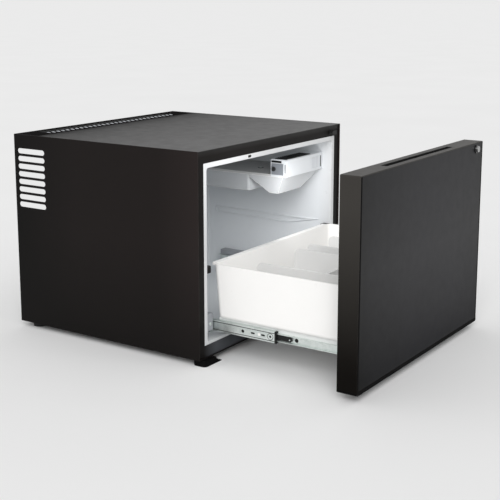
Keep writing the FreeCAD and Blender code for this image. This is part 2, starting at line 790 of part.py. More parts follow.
def gutter(wall):
    # The gutter's outside, or its inside drawn in by a wall
    low = TRAY_LOW + wall
    left = LAMP_LEFT + wall
    right = PLATE_RIGHT - wall
    front = LAMP_FRONT + GUTTER_FRONT + wall
    rear = TRAY_FRONT + TRAY_WALL / 2 - wall
    floor_front = LAMP_FRONT + GUTTER_FLOOR_FRONT + wall
    floor_rear = LAMP_FRONT + GUTTER_FLOOR_REAR - wall
    floor_end = LAMP_LEFT + GUTTER_FLOOR_LENGTH - wall
    shoulder = PLATE_LOW - GUTTER_REAR_DROP
    corners = [(front, PLATE_LOW), (floor_front, low), (floor_rear, low), (rear, shoulder), (rear, PLATE_LOW)]
    trough = extruded([point(left, y, z) for y, z in corners], RIGHT * (right - left))
    slope = [(floor_end, low), (right, low), (right, shoulder)]
    return trough.cut(extruded([point(x, front, z) for x, z in slope], BACK * (rear - front)))


def drip_tray():
    cup = gutter(0).cut(gutter(TRAY_WALL)).cut(tray_box(0))
    body = tray_box(0).cut(tray_box(TRAY_WALL))
    return joined([body, cup])


def rail_bracket():
    inner = -RAIL_X
    outer = -CAVITY_X
    front = FRAME_RECESS + BRACKET_FRONT
    back = RAIL_FRONT + RAIL_LENGTH
    low = CAVITY_LOW + BRACKET_LOW
    high = low + BRACKET_HEIGHT
    web = box(inner - BRACKET_SHEET, inner, front, back, low, high)
    shelf = box(outer, inner, front, back, high - BRACKET_SHEET, high)
    ledge = box(outer, inner, front, back, low, low + BRACKET_SHEET)
    tab = box(outer, inner, front, front + BRACKET_SHEET, low, high)
    return joined([web, shelf, ledge, tab])


def bracket_screw():
    x = -(CAVITY_X + RAIL_X) / 2
    y = FRAME_RECESS + BRACKET_FRONT
    return screw_head(point(x, y, CAVITY_LOW + BRACKET_LOW + BRACKET_SCREW_RISE), BACK * -1)


def side_bumper():
    front = FRAME_RECESS + BRACKET_FRONT
    low = CAVITY_LOW + BUMPER_RISE
    right = BUMPER_WIDTH - CAVITY_X
    back = front + BUMPER_LENGTH
    return soft_box(-CAVITY_X, right, front, back, low, low + BUMPER_HEIGHT, BUMPER_ROUND, RIGHT)


def plate_screws():
    x = LAMP_LEFT + PLATE_SCREW_LEFT
    depths = [LAMP_BACK + PLATE_SCREW_BACK, PLATE_BACK - PLATE_SCREW_BACK]
    return [screw_head(point(x, y, PLATE_TOP), UP) for y in depths]


def cabinet_screws():
    left = bracket_screw()
    return Part.makeCompound([left, mirrored(left)] + plate_screws())


# Lock keeper on the frame


def lock_keeper():
    left = LOCK_X - KEEPER_WIDTH / 2
    right = LOCK_X + KEEPER_WIDTH / 2
    cam_front = LOCK_TAIL - CLOSED_GAP
    front = cam_front - KEEPER_CLEARANCE - KEEPER_SHEET
    low = LOCK_Z + LOCK_TAIL_RADIUS + KEEPER_CLEARANCE
    high = LOCK_Z + CAM_REACH + KEEPER_CLEARANCE + KEEPER_SHEET
    leg = box(left, right, front, front + KEEPER_SHEET, low, high)
    web = box(left, right, front, FRAME_RECESS, high - KEEPER_SHEET, high)
    base = box(left, right, FRAME_RECESS - KEEPER_SHEET, FRAME_RECESS, low, high)
    return joined([leg, web, base])


# Telescopic rails, drawn for the left side


def rail_box(in0, in1, y0, y1, z0, z1):
    # A box by its offsets from the rail's outer face and from the rail's middle height
    return box(in0 - RAIL_X, in1 - RAIL_X, y0, y1, RAIL_Z + z0, RAIL_Z + z1)


def at_bend(spot, web0, half):
    # True on the outside of the bend between a web and a flange
    near_web = abs(spot.x + RAIL_X - web0 - RAIL_GAUGE / 2) < RAIL_GAUGE
    return near_web and abs(spot.z - RAIL_Z) > half - RAIL_GAUGE / 2


def channel(web0, flange0, flange1, height, front):
    half = height / 2
    back = front + RAIL_LENGTH
    web = rail_box(web0, web0 + RAIL_GAUGE, front, back, -half, half)
    upper = rail_box(flange0, flange1, front, back, half - RAIL_GAUGE, half)
    lower = rail_box(flange0, flange1, front, back, -half, RAIL_GAUGE - half)
    shape = joined([web, upper, lower])
    bends = [edge for edge in edges_along(shape, BACK) if at_bend(edge.CenterOfMass, web0, half)]
    return shape.makeFillet(RAIL_BEND, bends)


def web_hole(web0, y, radius):
    start = point(web0 - RAIL_X, y, RAIL_Z)
    return rod(radius, start, start + RIGHT * RAIL_GAUGE)


def web_slot(y):
    start = point(MIDDLE_WEB - RAIL_X, y, RAIL_Z)
    return slot_bar(start, start + BACK * MIDDLE_SLOT_LENGTH, MIDDLE_SLOT_RADIUS, RIGHT * RAIL_GAUGE)


def rail_outer():
    return channel(0, 0, OUTER_LIP, RAIL_HEIGHT, RAIL_FRONT)


def track_grooves():
    # Two pressed lines along the middle member's outer face
    back = MIDDLE_FRONT + RAIL_LENGTH
    half = TRACK_WIDTH / 2
    grooves = []
    for height in (TRACK_IN - MIDDLE_HEIGHT / 2, MIDDLE_HEIGHT / 2 - TRACK_IN):
        grooves.append(
            rail_box(MIDDLE_WEB, MIDDLE_WEB + TRACK_DEPTH, MIDDLE_FRONT, back, height - half, height + half)
        )
    return grooves


def ring_groove():
    # A pressed ring around the front hole of the middle member
    start = point(MIDDLE_WEB - RAIL_X, MIDDLE_FRONT + MIDDLE_HOLE_LEAD, RAIL_Z)
    end = start + RIGHT * TRACK_DEPTH
    half = RING_WIDTH / 2
    return rod(RING_RADIUS + half, start, end).cut(rod(RING_RADIUS - half, start, end))


def rail_middle():
    body = channel(MIDDLE_WEB, MIDDLE_WEB, MIDDLE_LIP, MIDDLE_HEIGHT, MIDDLE_FRONT)
    cuts = [web_slot(MIDDLE_FRONT + lead) for lead in MIDDLE_SLOTS]
    cuts.append(web_hole(MIDDLE_WEB, MIDDLE_FRONT + MIDDLE_HOLE_LEAD, MIDDLE_HOLE_RADIUS))
    cuts.append(web_hole(MIDDLE_WEB, MIDDLE_FRONT + SIGHT_HOLE_LEAD, SIGHT_HOLE_RADIUS))
    cuts.append(ring_groove())
    return body.cut(Part.makeCompound(cuts + track_grooves()))


def lever_pin(clearance):
    start = point(INNER_LIP - RAIL_X, LEVER_PIN_Y, RAIL_Z)
    return rod(LEVER_PIN_RADIUS + clearance, start, start + RIGHT * (INNER_WEB - INNER_LIP))


def rail_inner():
    body = channel(INNER_WEB, INNER_LIP, RAIL_THICK, INNER_HEIGHT, INNER_FRONT)
    holes = [web_hole(INNER_WEB, LEVER_PIN_Y - INNER_HOLE_LEAD, INNER_HOLE_RADIUS)]
    holes.append(web_hole(INNER_WEB, INNER_FRONT + INNER_PILOT_LEAD, INNER_PILOT_RADIUS))
    return joined([body.cut(Part.makeCompound(holes)), lever_pin(0)])


def ball_cage(web0, lip, race_height, front):
    # A thin strip in each race, joined by a web, with loose balls in its holes
    radius = RAIL_RACE / 2 - BALL_CLEARANCE
    back = front + CAGE_LENGTH
    thin = CAGE_SHEET / 2
    pitch = CAGE_LENGTH / CAGE_BALLS
    strips = [rail_box(web0, web0 + CAGE_SHEET, front, back, -race_height, race_height)]
    centres = []
    for side in (-race_height, race_height):
        strips.append(rail_box(web0, lip, front, back, side - thin, side + thin))
        for number in range(CAGE_BALLS):
            y = front + (number + 0.5) * pitch
            centres.append(point((web0 + 2 * lip) / 3 - RAIL_X, y, RAIL_Z + side))
    reach = UP * CAGE_SHEET
    holes = [rod(radius + CAGE_HOLE_CLEARANCE, centre - reach, centre + reach) for centre in centres]
    balls = [Part.makeSphere(radius, centre) for centre in centres]
    return Part.makeCompound([joined(strips).cut(Part.makeCompound(holes))] + balls)


def cage_outer():
    race = (RAIL_HEIGHT - RAIL_GAUGE * 2 - RAIL_RACE) / 2
    web0 = RAIL_GAUGE + (RAIL_CAGE_SPACE - CAGE_SHEET) / 2
    return ball_cage(web0, OUTER_LIP, race, RAIL_FRONT + CAGE_FRONT_GAP)


def cage_inner():
    race = (MIDDLE_HEIGHT - RAIL_GAUGE * 2 - RAIL_RACE) / 2
    web0 = MIDDLE_WEB + RAIL_GAUGE + (RAIL_LIP_GAP - CAGE_SHEET) / 2
    return ball_cage(web0, MIDDLE_LIP, race, MIDDLE_FRONT + CAGE_FRONT_GAP)


def rail_cap():
    half = MIDDLE_HEIGHT / 2
    front = MIDDLE_FRONT - CAP_LENGTH
    cap = rail_box(MIDDLE_WEB, MIDDLE_LIP, front, MIDDLE_FRONT, -half, half)
    pass_half = INNER_HEIGHT / 2 + CAP_CLEARANCE
    way = rail_box(INNER_LIP - CAP_CLEARANCE, RAIL_THICK, front, MIDDLE_FRONT, -pass_half, pass_half)
    return cap.cut(way)


def release_lever():
    front = LEVER_PIN_Y - LEVER_BOSS_RADIUS
    plate1 = INNER_WEB - LEVER_BOSS
    plate0 = plate1 - LEVER_THICK
    half = LEVER_HEIGHT / 2
    arm = rail_box(plate0, plate1, front, front + LEVER_LENGTH, -half, half)
    arm = arm.makeFillet(half / 2, edges_along(arm, RIGHT))
    start = point(plate1 - RAIL_X, LEVER_PIN_Y, RAIL_Z)
    boss = rod(LEVER_BOSS_RADIUS, start, start + RIGHT * LEVER_BOSS)
    return joined([arm, boss]).cut(lever_pin(RUNNING_FIT))


# Drawer


def bin_carrier():
    inner = RAIL_THICK
    sheet = CARRIER_SHEET
    lift = BIN_LOW - RAIL_Z
    half = INNER_HEIGHT / 2
    back = INNER_FRONT + RAIL_LENGTH - CARRIER_REAR
    shelf = inner + CARRIER_SHELF
    leg = rail_box(inner, inner + sheet, PANEL_BACK, back, -half, lift)
    top = rail_box(inner, shelf, PANEL_BACK, back, lift - sheet, lift)
    tab = rail_box(inner, shelf, PANEL_BACK, PANEL_BACK + sheet, -half, lift)
    return joined([leg, top, tab])


def carrier_screw():
    x = RAIL_THICK + CARRIER_SCREW_IN - RAIL_X
    return screw_head(point(x, PANEL_BACK + CARRIER_SHEET, RAIL_Z), BACK)


def drawer_screws():
    return pair(carrier_screw())


def rounded_rectangle(reach, y0, y1, z, radius):
    sheet = soft_box(-reach, reach, y0, y1, z, z + BIN_WALL, radius, UP)
    faces = [face for face in sheet.Faces if abs(face.CenterOfMass.z - z) < BIN_WALL / 10]
    return faces[0].OuterWire


def bin_space(wall):
    reach = BIN_X - wall
    front = BIN_FRONT + wall
    back = BIN_BACK - wall
    corner = BIN_CORNER - wall
    low = rounded_rectangle(reach - BIN_DRAFT, front, back - BIN_DRAFT, BIN_LOW + wall, corner)
    top = rounded_rectangle(reach, front, back, BIN_TOP, corner)
    space = Part.makeLoft([low, top], True, True)
    base = [edge for edge in space.Edges if edge.BoundBox.ZMax < BIN_FLOOR + BIN_WALL]
    return space.makeFillet(BIN_BASE_ROUND - wall, base)


def drawer_bin():
    reach = BIN_X - BIN_CORNER
    back = BIN_BACK + BIN_LIP_REAR
    lip = box(-reach, reach, BIN_BACK - BIN_CORNER, back, BIN_TOP - BIN_LIP_HEIGHT, BIN_TOP)
    return bin_space(0).fuse(lip).cut(bin_space(BIN_WALL))


def long_dividers():
    front = BIN_FRONT + DIVIDER_FRONT
    back = BIN_BACK - DIVIDER_REAR
    walls = []
    for x in DIVIDER_X:
        left = x - DIVIDER_THICK / 2
        wall = box(left, left + DIVIDER_THICK, front, back, BIN_FLOOR, BIN_TOP - DIVIDER_DROP)
        upper = [edge for edge in edges_along(wall, RIGHT) if edge.CenterOfMass.z > wall.CenterOfMass.z]
        corner = [edge for edge in upper if edge.CenterOfMass.y > wall.CenterOfMass.y]
        walls.append(wall.makeFillet(DIVIDER_ROUND, corner))
    return Part.makeCompound(walls)


def cross_dividers():
    half = DIVIDER_THICK / 2
    walls = []
    for left, right, y in zip(DIVIDER_X, DIVIDER_X[1:], CROSS_Y):
        walls.append(box(left + half, right - half, y - half, y + half, BIN_FLOOR, BIN_TOP - CROSS_DROP))
    return Part.makeCompound(walls)


def handle_block(wall):
    half_x = HANDLE_LENGTH / 2 - wall
    half_y = HANDLE_WIDTH / 2 - wall
    low = PANEL_HIGH - HANDLE_DEPTH + wall
    return box(-half_x, half_x, HANDLE_Y - half_y, HANDLE_Y + half_y, low, PANEL_HIGH)


def handle_cup():
    return handle_block(0).cut(handle_block(HANDLE_WALL))


def lock_rod(radius, front, back):
    return rod(radius, point(LOCK_X, front, LOCK_Z), point(LOCK_X, back, LOCK_Z))


def lock_hole():
    return lock_rod(LOCK_BODY_RADIUS + PIPE_FIT, PANEL_FRONT, PANEL_BACK)


def front_skin():
    reach = BAND_IN_X - EDGE_STRIP
    sheet = box(-reach, reach, PANEL_FRONT, PANEL_FRONT + PANEL_SKIN, BAND_IN_LOW, BAND_IN_HIGH)
    return sheet.cut(lock_hole())


def front_band():
    front = PANEL_FRONT + BAND_SETBACK
    ring = box(-HALF_WIDTH, HALF_WIDTH, front, PANEL_BACK, TRIM_TOP, PANEL_HIGH)
    upper = [edge for edge in edges_along(ring, BACK) if edge.CenterOfMass.z > ring.CenterOfMass.z]
    ring = ring.makeFillet(PANEL_CORNER, upper)
    hollow = box(-BAND_IN_X, BAND_IN_X, front, PANEL_BACK, BAND_IN_LOW, BAND_IN_HIGH)
    return ring.cut(hollow).cut(handle_block(0))


def front_foam():
    front = PANEL_FRONT + PANEL_SKIN
    fill = box(-BAND_IN_X, BAND_IN_X, front, PANEL_BACK - PANEL_LINER, BAND_IN_LOW, BAND_IN_HIGH)
    return fill.cut(handle_block(0)).cut(lock_hole())


def front_liner():
    sheet = box(-BAND_IN_X, BAND_IN_X, PANEL_BACK - PANEL_LINER, PANEL_BACK, BAND_IN_LOW, BAND_IN_HIGH)
    return sheet.cut(lock_hole())


def bottom_trim():
    bar = box(-HALF_WIDTH, HALF_WIDTH, PANEL_FRONT, PANEL_BACK, PANEL_LOW, TRIM_TOP)
    lower = [edge for edge in edges_along(bar, BACK) if edge.CenterOfMass.z < bar.CenterOfMass.z]
    bar = bar.makeFillet(TRIM_CORNER, lower)
    inner = BAND_IN_X - EDGE_STRIP
    strip = box(inner, BAND_IN_X, PANEL_FRONT, PANEL_FRONT + PANEL_SKIN, BAND_IN_LOW, BAND_IN_HIGH)
    return Part.makeCompound([bar, strip, mirrored(strip)])


def gasket():
    thick = CLOSED_GAP + FRAME_RECESS - GASKET_CLEARANCE
    back = PANEL_BACK + thick
    reach = CAVITY_X - GASKET_LAP
    low = CAVITY_LOW + GASKET_LAP - GASKET_WIDTH
    high = CAVITY_HIGH - GASKET_LAP
    wide = reach + GASKET_WIDTH
    radius = GASKET_RADIUS - GASKET_WIDTH / 2
    outer = soft_box(-wide, wide, PANEL_BACK, back, low, high + GASKET_WIDTH, radius + GASKET_WIDTH, BACK)
    inner = soft_box(-reach, reach, PANEL_BACK, back, low + GASKET_WIDTH, high, radius, BACK)
    return outer.cut(inner)


def lock_barrel():
    front = PANEL_FRONT - LOCK_RING_PROUD
    body = lock_rod(LOCK_BODY_RADIUS, PANEL_FRONT, PANEL_BACK)
    head = lock_rod(LOCK_HEAD_RADIUS, front, PANEL_FRONT)
    return joined([body, head]).cut(lock_rod(LOCK_PLUG_RADIUS + RUNNING_FIT, front, PANEL_BACK))


def lock_plug():
    front = PANEL_FRONT - LOCK_PROUD
    body = lock_rod(LOCK_PLUG_RADIUS, front, PANEL_BACK)
    tail = lock_rod(LOCK_TAIL_RADIUS, PANEL_BACK, PANEL_BACK + LOCK_TAIL)
    half = KEY_SLOT_WIDTH / 2
    reach = KEY_SLOT_LENGTH / 2
    slot = box(LOCK_X - half, LOCK_X + half, front, front + KEY_SLOT_DEPTH, LOCK_Z - reach, LOCK_Z + reach)
    return joined([body, tail]).cut(slot)


def lock_cam():
    front = PANEL_BACK + LOCK_TAIL
    back = front + CAM_THICK
    hub = lock_rod(LOCK_TAIL_RADIUS, front, back)
    half = CAM_WIDTH / 2
    arm = box(LOCK_X, LOCK_X + CAM_REACH, front, back, LOCK_Z - half, LOCK_Z + half)
    screw = lock_rod(CAM_SCREW_RADIUS, back, back + CAM_SCREW)
    return joined([hub, arm, screw])


# Cooling unit


def absorber_vessel():
    vessel = rod(VESSEL_RADIUS, point(VESSEL_LEFT, UNIT_Y, VESSEL_Z), point(VESSEL_RIGHT, UNIT_Y, VESSEL_Z))
    rims = [edge for edge in vessel.Edges if isinstance(edge.Curve, Part.Circle)]
    return vessel.makeFillet(VESSEL_RADIUS / 2, rims)


def absorber_coil():
    points = [point(COIL_RIGHT, UNIT_Y, VESSEL_Z)]
    ends = [COIL_RIGHT, COIL_LEFT]
    for number in range(COIL_RUNS):
        height = COIL_LOW + number * COIL_PITCH
        points.append(point(ends[number % 2], UNIT_Y, height))
        points.append(point(ends[1 - number % 2], UNIT_Y, height))
    points[-1].x = BOILER_LEFT
    return bent_rod(points, COIL_PITCH / 2, PIPE_RADIUS).cut(absorber_vessel())


def boiler_casing():
    right = BOILER_LEFT + BOILER_WIDTH
    back = BULKHEAD_BACK + BOILER_DEPTH
    return soft_box(BOILER_LEFT, right, BULKHEAD_BACK, back, BOILER_LOW, BOILER_TOP, BOILER_ROUND, UP)


def condenser_tube():
    points = [point(BOILER_X, UNIT_Y, BOILER_TOP), point(BOILER_X, UNIT_Y, CONDENSER_Z)]
    points.append(point(CONDENSER_LEFT, UNIT_Y, CONDENSER_Z))
    points.append(point(CONDENSER_LEFT, BULKHEAD_BACK, CONDENSER_Z))
    return bent_rod(points, CONDENSER_BEND, PIPE_RADIUS)


def condenser_fins():
    half = CONDENSER_FIN_SIZE / 2
    front = UNIT_Y - half
    back = UNIT_Y + half
    plates = []
    for number in range(CONDENSER_FINS):
        x = CONDENSER_LEFT + CONDENSER_FIN_START + number * CONDENSER_PITCH
        plate = box(x, x + CONDENSER_FIN_SHEET, front, back, CONDENSER_Z - half, CONDENSER_Z + half)
        start = point(x, UNIT_Y, CONDENSER_Z)
        plates.append(plate.cut(rod(PIPE_RADIUS + PIPE_FIT, start, start + RIGHT * CONDENSER_FIN_SHEET)))
    return Part.makeCompound(plates)


def vessel_saddle(x):
    half = MOUNT_DEPTH / 2
    post = box(x, x + MOUNT_SHEET, UNIT_Y - half, UNIT_Y + half, BASE_TOP, VESSEL_Z)
    start = point(x, UNIT_Y, VESSEL_Z)
    return post.cut(rod(VESSEL_RADIUS + PIPE_FIT, start, start + RIGHT * MOUNT_SHEET))


def coil_strap(x):
    front = UNIT_Y - PIPE_RADIUS - STRAP_GAP
    return box(x, x + MOUNT_SHEET, BULKHEAD_BACK, front, COIL_LOW - PIPE_RADIUS, COIL_HIGH + PIPE_RADIUS)


def unit_mounts():
    right = VESSEL_RIGHT - MOUNT_INSET - MOUNT_SHEET
    saddles = [vessel_saddle(VESSEL_LEFT + MOUNT_INSET), vessel_saddle(right)]
    straps = [coil_strap(COIL_LEFT + MOUNT_INSET), coil_strap(COIL_RIGHT - MOUNT_INSET)]
    pieces = [solid for shape in saddles + straps for solid in shape.Solids]
    return Part.makeCompound(pieces)


def inlet_block(grow):
    x = CONTROL_LEFT + CONTROL_WIDTH / 2
    z = BASE_TOP + CONTROL_RISE + CONTROL_HEIGHT / 2
    half_x = INLET_WIDTH / 2 + grow
    half_z = INLET_HEIGHT / 2 + grow
    return x, z, half_x, half_z


def inlet_body():
    x, z, half_x, half_z = inlet_block(0)
    return box(x - half_x, x + half_x, CONTROL_BACK - INLET_DEPTH, CONTROL_BACK, z - half_z, z + half_z)


def control_box():
    right = CONTROL_LEFT + CONTROL_WIDTH
    low = BASE_TOP + CONTROL_RISE
    high = low + CONTROL_HEIGHT
    outer = soft_box(CONTROL_LEFT, right, BULKHEAD_BACK, CONTROL_BACK, low, high, CONTROL_ROUND, BACK)
    wall = CONTROL_WALL
    hollow = box(CONTROL_LEFT + wall, right - wall, BULKHEAD_BACK, CONTROL_BACK - wall, low + wall, high - wall)
    return outer.cut(hollow).cut(inlet_body())


def inlet_pin(x, z):
    start = CONTROL_BACK + INLET_FLANGE_THICK - INLET_RECESS
    half_x = INLET_PIN_WIDTH / 2
    half_z = INLET_PIN_HEIGHT / 2
    return box(x - half_x, x + half_x, start, start + INLET_PIN_LENGTH, z - half_z, z + half_z)


def mains_inlet():
    x, z, half_x, half_z = inlet_block(INLET_FLANGE)
    face = CONTROL_BACK + INLET_FLANGE_THICK
    flange = box(x - half_x, x + half_x, CONTROL_BACK, face, z - half_z, z + half_z)
    x, z, half_x, half_z = inlet_block(-INLET_WALL)
    recess = box(x - half_x, x + half_x, face - INLET_RECESS, face, z - half_z, z + half_z)
    pins = [inlet_pin(x + side * INLET_PIN_PITCH, z - INLET_EARTH_RISE / 2) for side in (-1, 1)]
    pins.append(inlet_pin(x, z + INLET_EARTH_RISE))
    return joined([inlet_body(), flange]).cut(recess).multiFuse(pins)


def save_cabinet():
    panel = side_panel()
    save("side_panel_left", panel)
    save("side_panel_right", mirrored(panel))
    save("top_panel", top_panel())
    save("top_grille", top_grille())
    save("base_plate", base_plate())
    save("front_frame", front_frame())
    save("inner_liner", inner_liner())
    save("insulation_foam", insulation_foam())
    save("rear_bulkhead", rear_bulkhead())
    save("door_sensor", sensor_window(FRAME_RECESS + SENSOR_SINK, 0))
    save("lock_keeper", lock_keeper())
    save("front_feet", pair(front_foot()))
    save("rear_feet", pair(rear_foot()))


def save_compartment():
    save("lamp_housing", lamp_housing())
    save("lamp_lens", lamp_lens())
    save("lamp_louvre", lamp_louvre())
    save("thermostat_plate", thermostat_plate())
    save("thermostat_dial", thermostat_dial())
    save("evaporator_plate", evaporator_plate())
    save("evaporator_fins", evaporator_fins())
    save("evaporator_block", evaporator_block())
    save("drip_tray", drip_tray())
    save("rail_brackets", pair(rail_bracket()))
    save("side_bumpers", pair(side_bumper()))
    save("cabinet_screws", cabinet_screws())


def save_rails():
    save("rail_outer", pair(rail_outer()))
    save("rail_inner", pair(rail_inner()))
    shapes = {
        "rail_middle": rail_middle(),
        "rail_cap": rail_cap(),
        "ball_cage_outer": cage_outer(),
        "ball_cage_inner": cage_inner(),
        "release_lever": release_lever(),
    }
    for name, shape in shapes.items():
        save(name + "_left", shape)
        save(name + "_right", mirrored(shape))


def save_drawer():
    save("front_skin", front_skin())
    save("front_band", front_band())
    save("front_foam", front_foam())
    save("front_liner", front_liner())
    save("bottom_trim", bottom_trim())
    save("handle_cup", handle_cup())
    save("gasket", gasket())
    save("lock_barrel", lock_barrel())
    save("lock_plug", lock_plug())
    save("lock_cam", lock_cam())
    save("drawer_bin", drawer_bin())
    save("long_dividers", long_dividers())
    save("cross_dividers", cross_dividers())
    save("bin_carriers", pair(bin_carrier()))
    save("drawer_screws", drawer_screws())


def save_cooling_unit():
    save("boiler_casing", boiler_casing())
    save("absorber_vessel", absorber_vessel())
    save("absorber_coil", absorber_coil())
    save("condenser_tube", condenser_tube())
    save("condenser_fins", condenser_fins())
    save("unit_mounts", unit_mounts())
    save("control_box", control_box())
    save("mains_inlet", mains_inlet())


os.makedirs("parts", exist_ok=True)
save_cabinet()
save_compartment()
save_rails()
save_drawer()
save_cooling_unit()
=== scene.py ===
# Looks of a drawer minibar: materials, small parts, light, floor and camera.
import json
import math

import bmesh
import bpy
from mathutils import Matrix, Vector


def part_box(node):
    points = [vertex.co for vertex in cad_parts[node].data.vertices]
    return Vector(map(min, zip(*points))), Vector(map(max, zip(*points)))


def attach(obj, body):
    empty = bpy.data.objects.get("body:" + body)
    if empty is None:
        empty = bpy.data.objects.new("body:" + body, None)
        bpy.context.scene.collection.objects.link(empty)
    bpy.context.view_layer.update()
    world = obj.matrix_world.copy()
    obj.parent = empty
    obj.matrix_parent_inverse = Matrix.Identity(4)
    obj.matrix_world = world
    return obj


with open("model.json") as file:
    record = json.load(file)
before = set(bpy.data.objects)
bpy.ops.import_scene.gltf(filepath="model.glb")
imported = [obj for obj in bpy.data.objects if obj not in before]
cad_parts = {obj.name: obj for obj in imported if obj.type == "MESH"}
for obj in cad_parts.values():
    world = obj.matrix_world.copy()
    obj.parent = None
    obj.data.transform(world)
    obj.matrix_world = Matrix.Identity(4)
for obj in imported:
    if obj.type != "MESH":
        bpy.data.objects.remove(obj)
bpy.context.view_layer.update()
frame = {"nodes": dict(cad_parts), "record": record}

# Lengths are in metres, and grain scales in cells per metre

# Camera, fitted to the corners of the cabinet and the drawer front: degrees, lens in millimetres
CAMERA_PLACE = (-1.9068, -1.2821, 0.7307)
CAMERA_YAW = 56.128
CAMERA_PITCH = 10.871
CAMERA_LENS = 76.71
CAMERA_SENSOR = 36.0
CAMERA_SHIFT_Y = -0.1

# Thin strips with round ends, and the steps in which round ends and rings are drawn
STRIP_THICK = 0.00015
STRIP_STEPS = 10
RING_STEPS = 24

# Dark strip behind the holes of a middle rail, a painted shade seen through the holes, from the
# rail's front end
WEB_THICK = 0.0013
HOLE_SHADE_LEAD = 0.004
HOLE_SHADE_LENGTH = 0.08
HOLE_SHADE_WIDTH = 0.009

# Dark disc in the hole of an inner rail, a painted shade in the hole, from the release lever and
# the carrier behind
INNER_SHADE_SIZE = 0.008
INNER_SHADE_STANDOFF = 0.0006
INNER_SHADE_LEAD = 0.0098

# Dark strips in the pressed lines and the pressed ring of a middle rail, a painted shade in these
# creases
GROOVE_DEPTH = 0.0004
GROOVE_IN = 0.004
GROOVE_WIDTH = 0.0012
SHADE_RING_LEAD = 0.01
SHADE_RING_IN = 0.006
SHADE_RING_OUT = 0.007

# Bright rivet between the slots of a middle rail
RIVET_LEAD = 0.036
RIVET_SIZE = 0.0065
RIVET_PROUD = 0.0001

# Pale beads on the edges of the clear tray where its faces turn by more than an angle, a painted
# highlight of these edges
BEAD_HALF = 0.0004
BEAD_ANGLE = math.radians(25)
WELD_DISTANCE = 0.00001

# Dark rings around the screws of the evaporator plate, a painted shade around the screw heads
SCREW_SHADE_LEFT = 0.067
SCREW_SHADE_BACK = 0.071
SCREW_SHADE_IN = 0.0037
SCREW_SHADE_OUT = 0.0068
SCREW_SHADE_THICK = 0.0006

# Collars behind the air slots of the side panels, from the panel's top and rear edges
PANEL_SHEET = 0.0012
VENT_COUNT = 8
VENT_PITCH = 0.01685
VENT_DROP = 0.036
VENT_FRONT = 0.089
VENT_REAR = 0.0098
VENT_REAR_LAP = 0.0055
VENT_HEIGHT = 0.0115
VENT_LAP = 0.0016

# Pale tongues in the front slots of the top grille, a painted highlight of the light seen through
# the slots
GRILLE_SLOTS = 30
GRILLE_PITCH = 0.015
GRILLE_LIP = 0.005
GRILLE_FRONT = 0.011
TONGUE_WIDTH = 0.007
TONGUE_LENGTH = 0.012
TONGUE_THICK = 0.0005
TONGUE_SINK = 0.0002

# Sun, with its spread in degrees, and the world's strength as light and as seen
KEY_FROM = (-0.85, -0.5, 0.65)
KEY_STRENGTH = 1.6
KEY_SPREAD = 40.0
WORLD_COLOUR = (1.0, 1.0, 1.0, 1.0)
WORLD_FILL = 0.67
WORLD_SEEN = 0.82
# Each soft box: its place, the point it faces, its side and its power
SOFT_BOXES = {
    "drawer_box": ((-0.22, -0.24, 0.45), (0.22, 0.06, 0.3), 0.2, 0.4),
    "mouth_box": ((0.02, -0.098, 0.31), (0.248, -0.04, 0.27), 0.028, 0.14),
}
# Floor, from its middle to its side, with its screen colour and how much paler it drifts
FLOOR_SIZE = 90.0
FLOOR_GRID = 8
FLOOR_COLOUR = (239, 239, 239)
FLOOR_DRIFT = 2

# Values between which most of a noise lies
NOISE_LOW = 0.3
NOISE_HIGH = 0.7
# Sockets of a Mix node that carry colours
MIX_FIRST = 6
MIX_SECOND = 7
MIX_RESULT = 2
# Rounded edges: their samples and radius, and the cosine of their turn at full wear and none
BEVEL_SAMPLES = 4
BEVEL_RADIUS = 0.0008
WORN_COSINE = 0.75
FLAT_COSINE = 0.98

# Powder coat: worn edges, spread of roughness and pebbles
COAT_EDGE = 0.0012
COAT_WEAR = 0.35
COAT_SPREAD = 0.025
COAT_PEBBLES = 1100
COAT_DEPTH = 0.00002
# Moulded plastic: worn edges and how they pale, spread of roughness and grain
MOULD_EDGE = 0.0008
MOULD_WEAR = 0.25
MOULD_GAIN = 1.8
MOULD_LIFT = 0.02
MOULD_SPREAD = 0.07
MOULD_GRAIN = 1600
MOULD_DEPTH = 0.00003
# White plastic: rounded edges, spread of roughness, waviness and grain
WHITE_EDGE = 0.0012
WHITE_SPREAD = 0.08
WHITE_WAVES = 18
WHITE_GRAIN = 1400
WHITE_DEPTH = 0.00001
# Ribs of the lens, and scuffs of the lens and the clear plastic
RIB_SCALE = 190
RIB_DEPTH = 0.0002
SCUFF_SPREAD = 0.1
# Clear plastic: its index of refraction and grain
CLEAR_IOR = 1.45
CLEAR_GRAIN = 900
CLEAR_DEPTH = 0.000005
# Metals: crystals of the zinc, drawing lines and brushing
ZINC_CRYSTALS = 130
ZINC_SPREAD = 0.1
ZINC_LINES = 500
ZINC_DEPTH = 0.00002
BRUSH_SMOOTHER = 0.08
BRUSH_ROUGHER = 0.1
BRUSH_LINES = 700
BRUSH_DEPTH = 0.00001
# Pores of the foam
FOAM_PORES = 420
FOAM_DEPTH = 0.0006


def tone(red, green, blue):
    """Linear colour of the usual 0 to 255 screen values, by the sRGB curve."""
    values = []
    for part in (red, green, blue):
        part = part / 255
        values.append(part / 12.92 if part <= 0.04045 else ((part + 0.055) / 1.055) ** 2.4)
    return tuple(values) + (1.0,)


def level(share):
    """A grey that carries a plain number through a colour ramp."""
    return (share, share, share, 1.0)


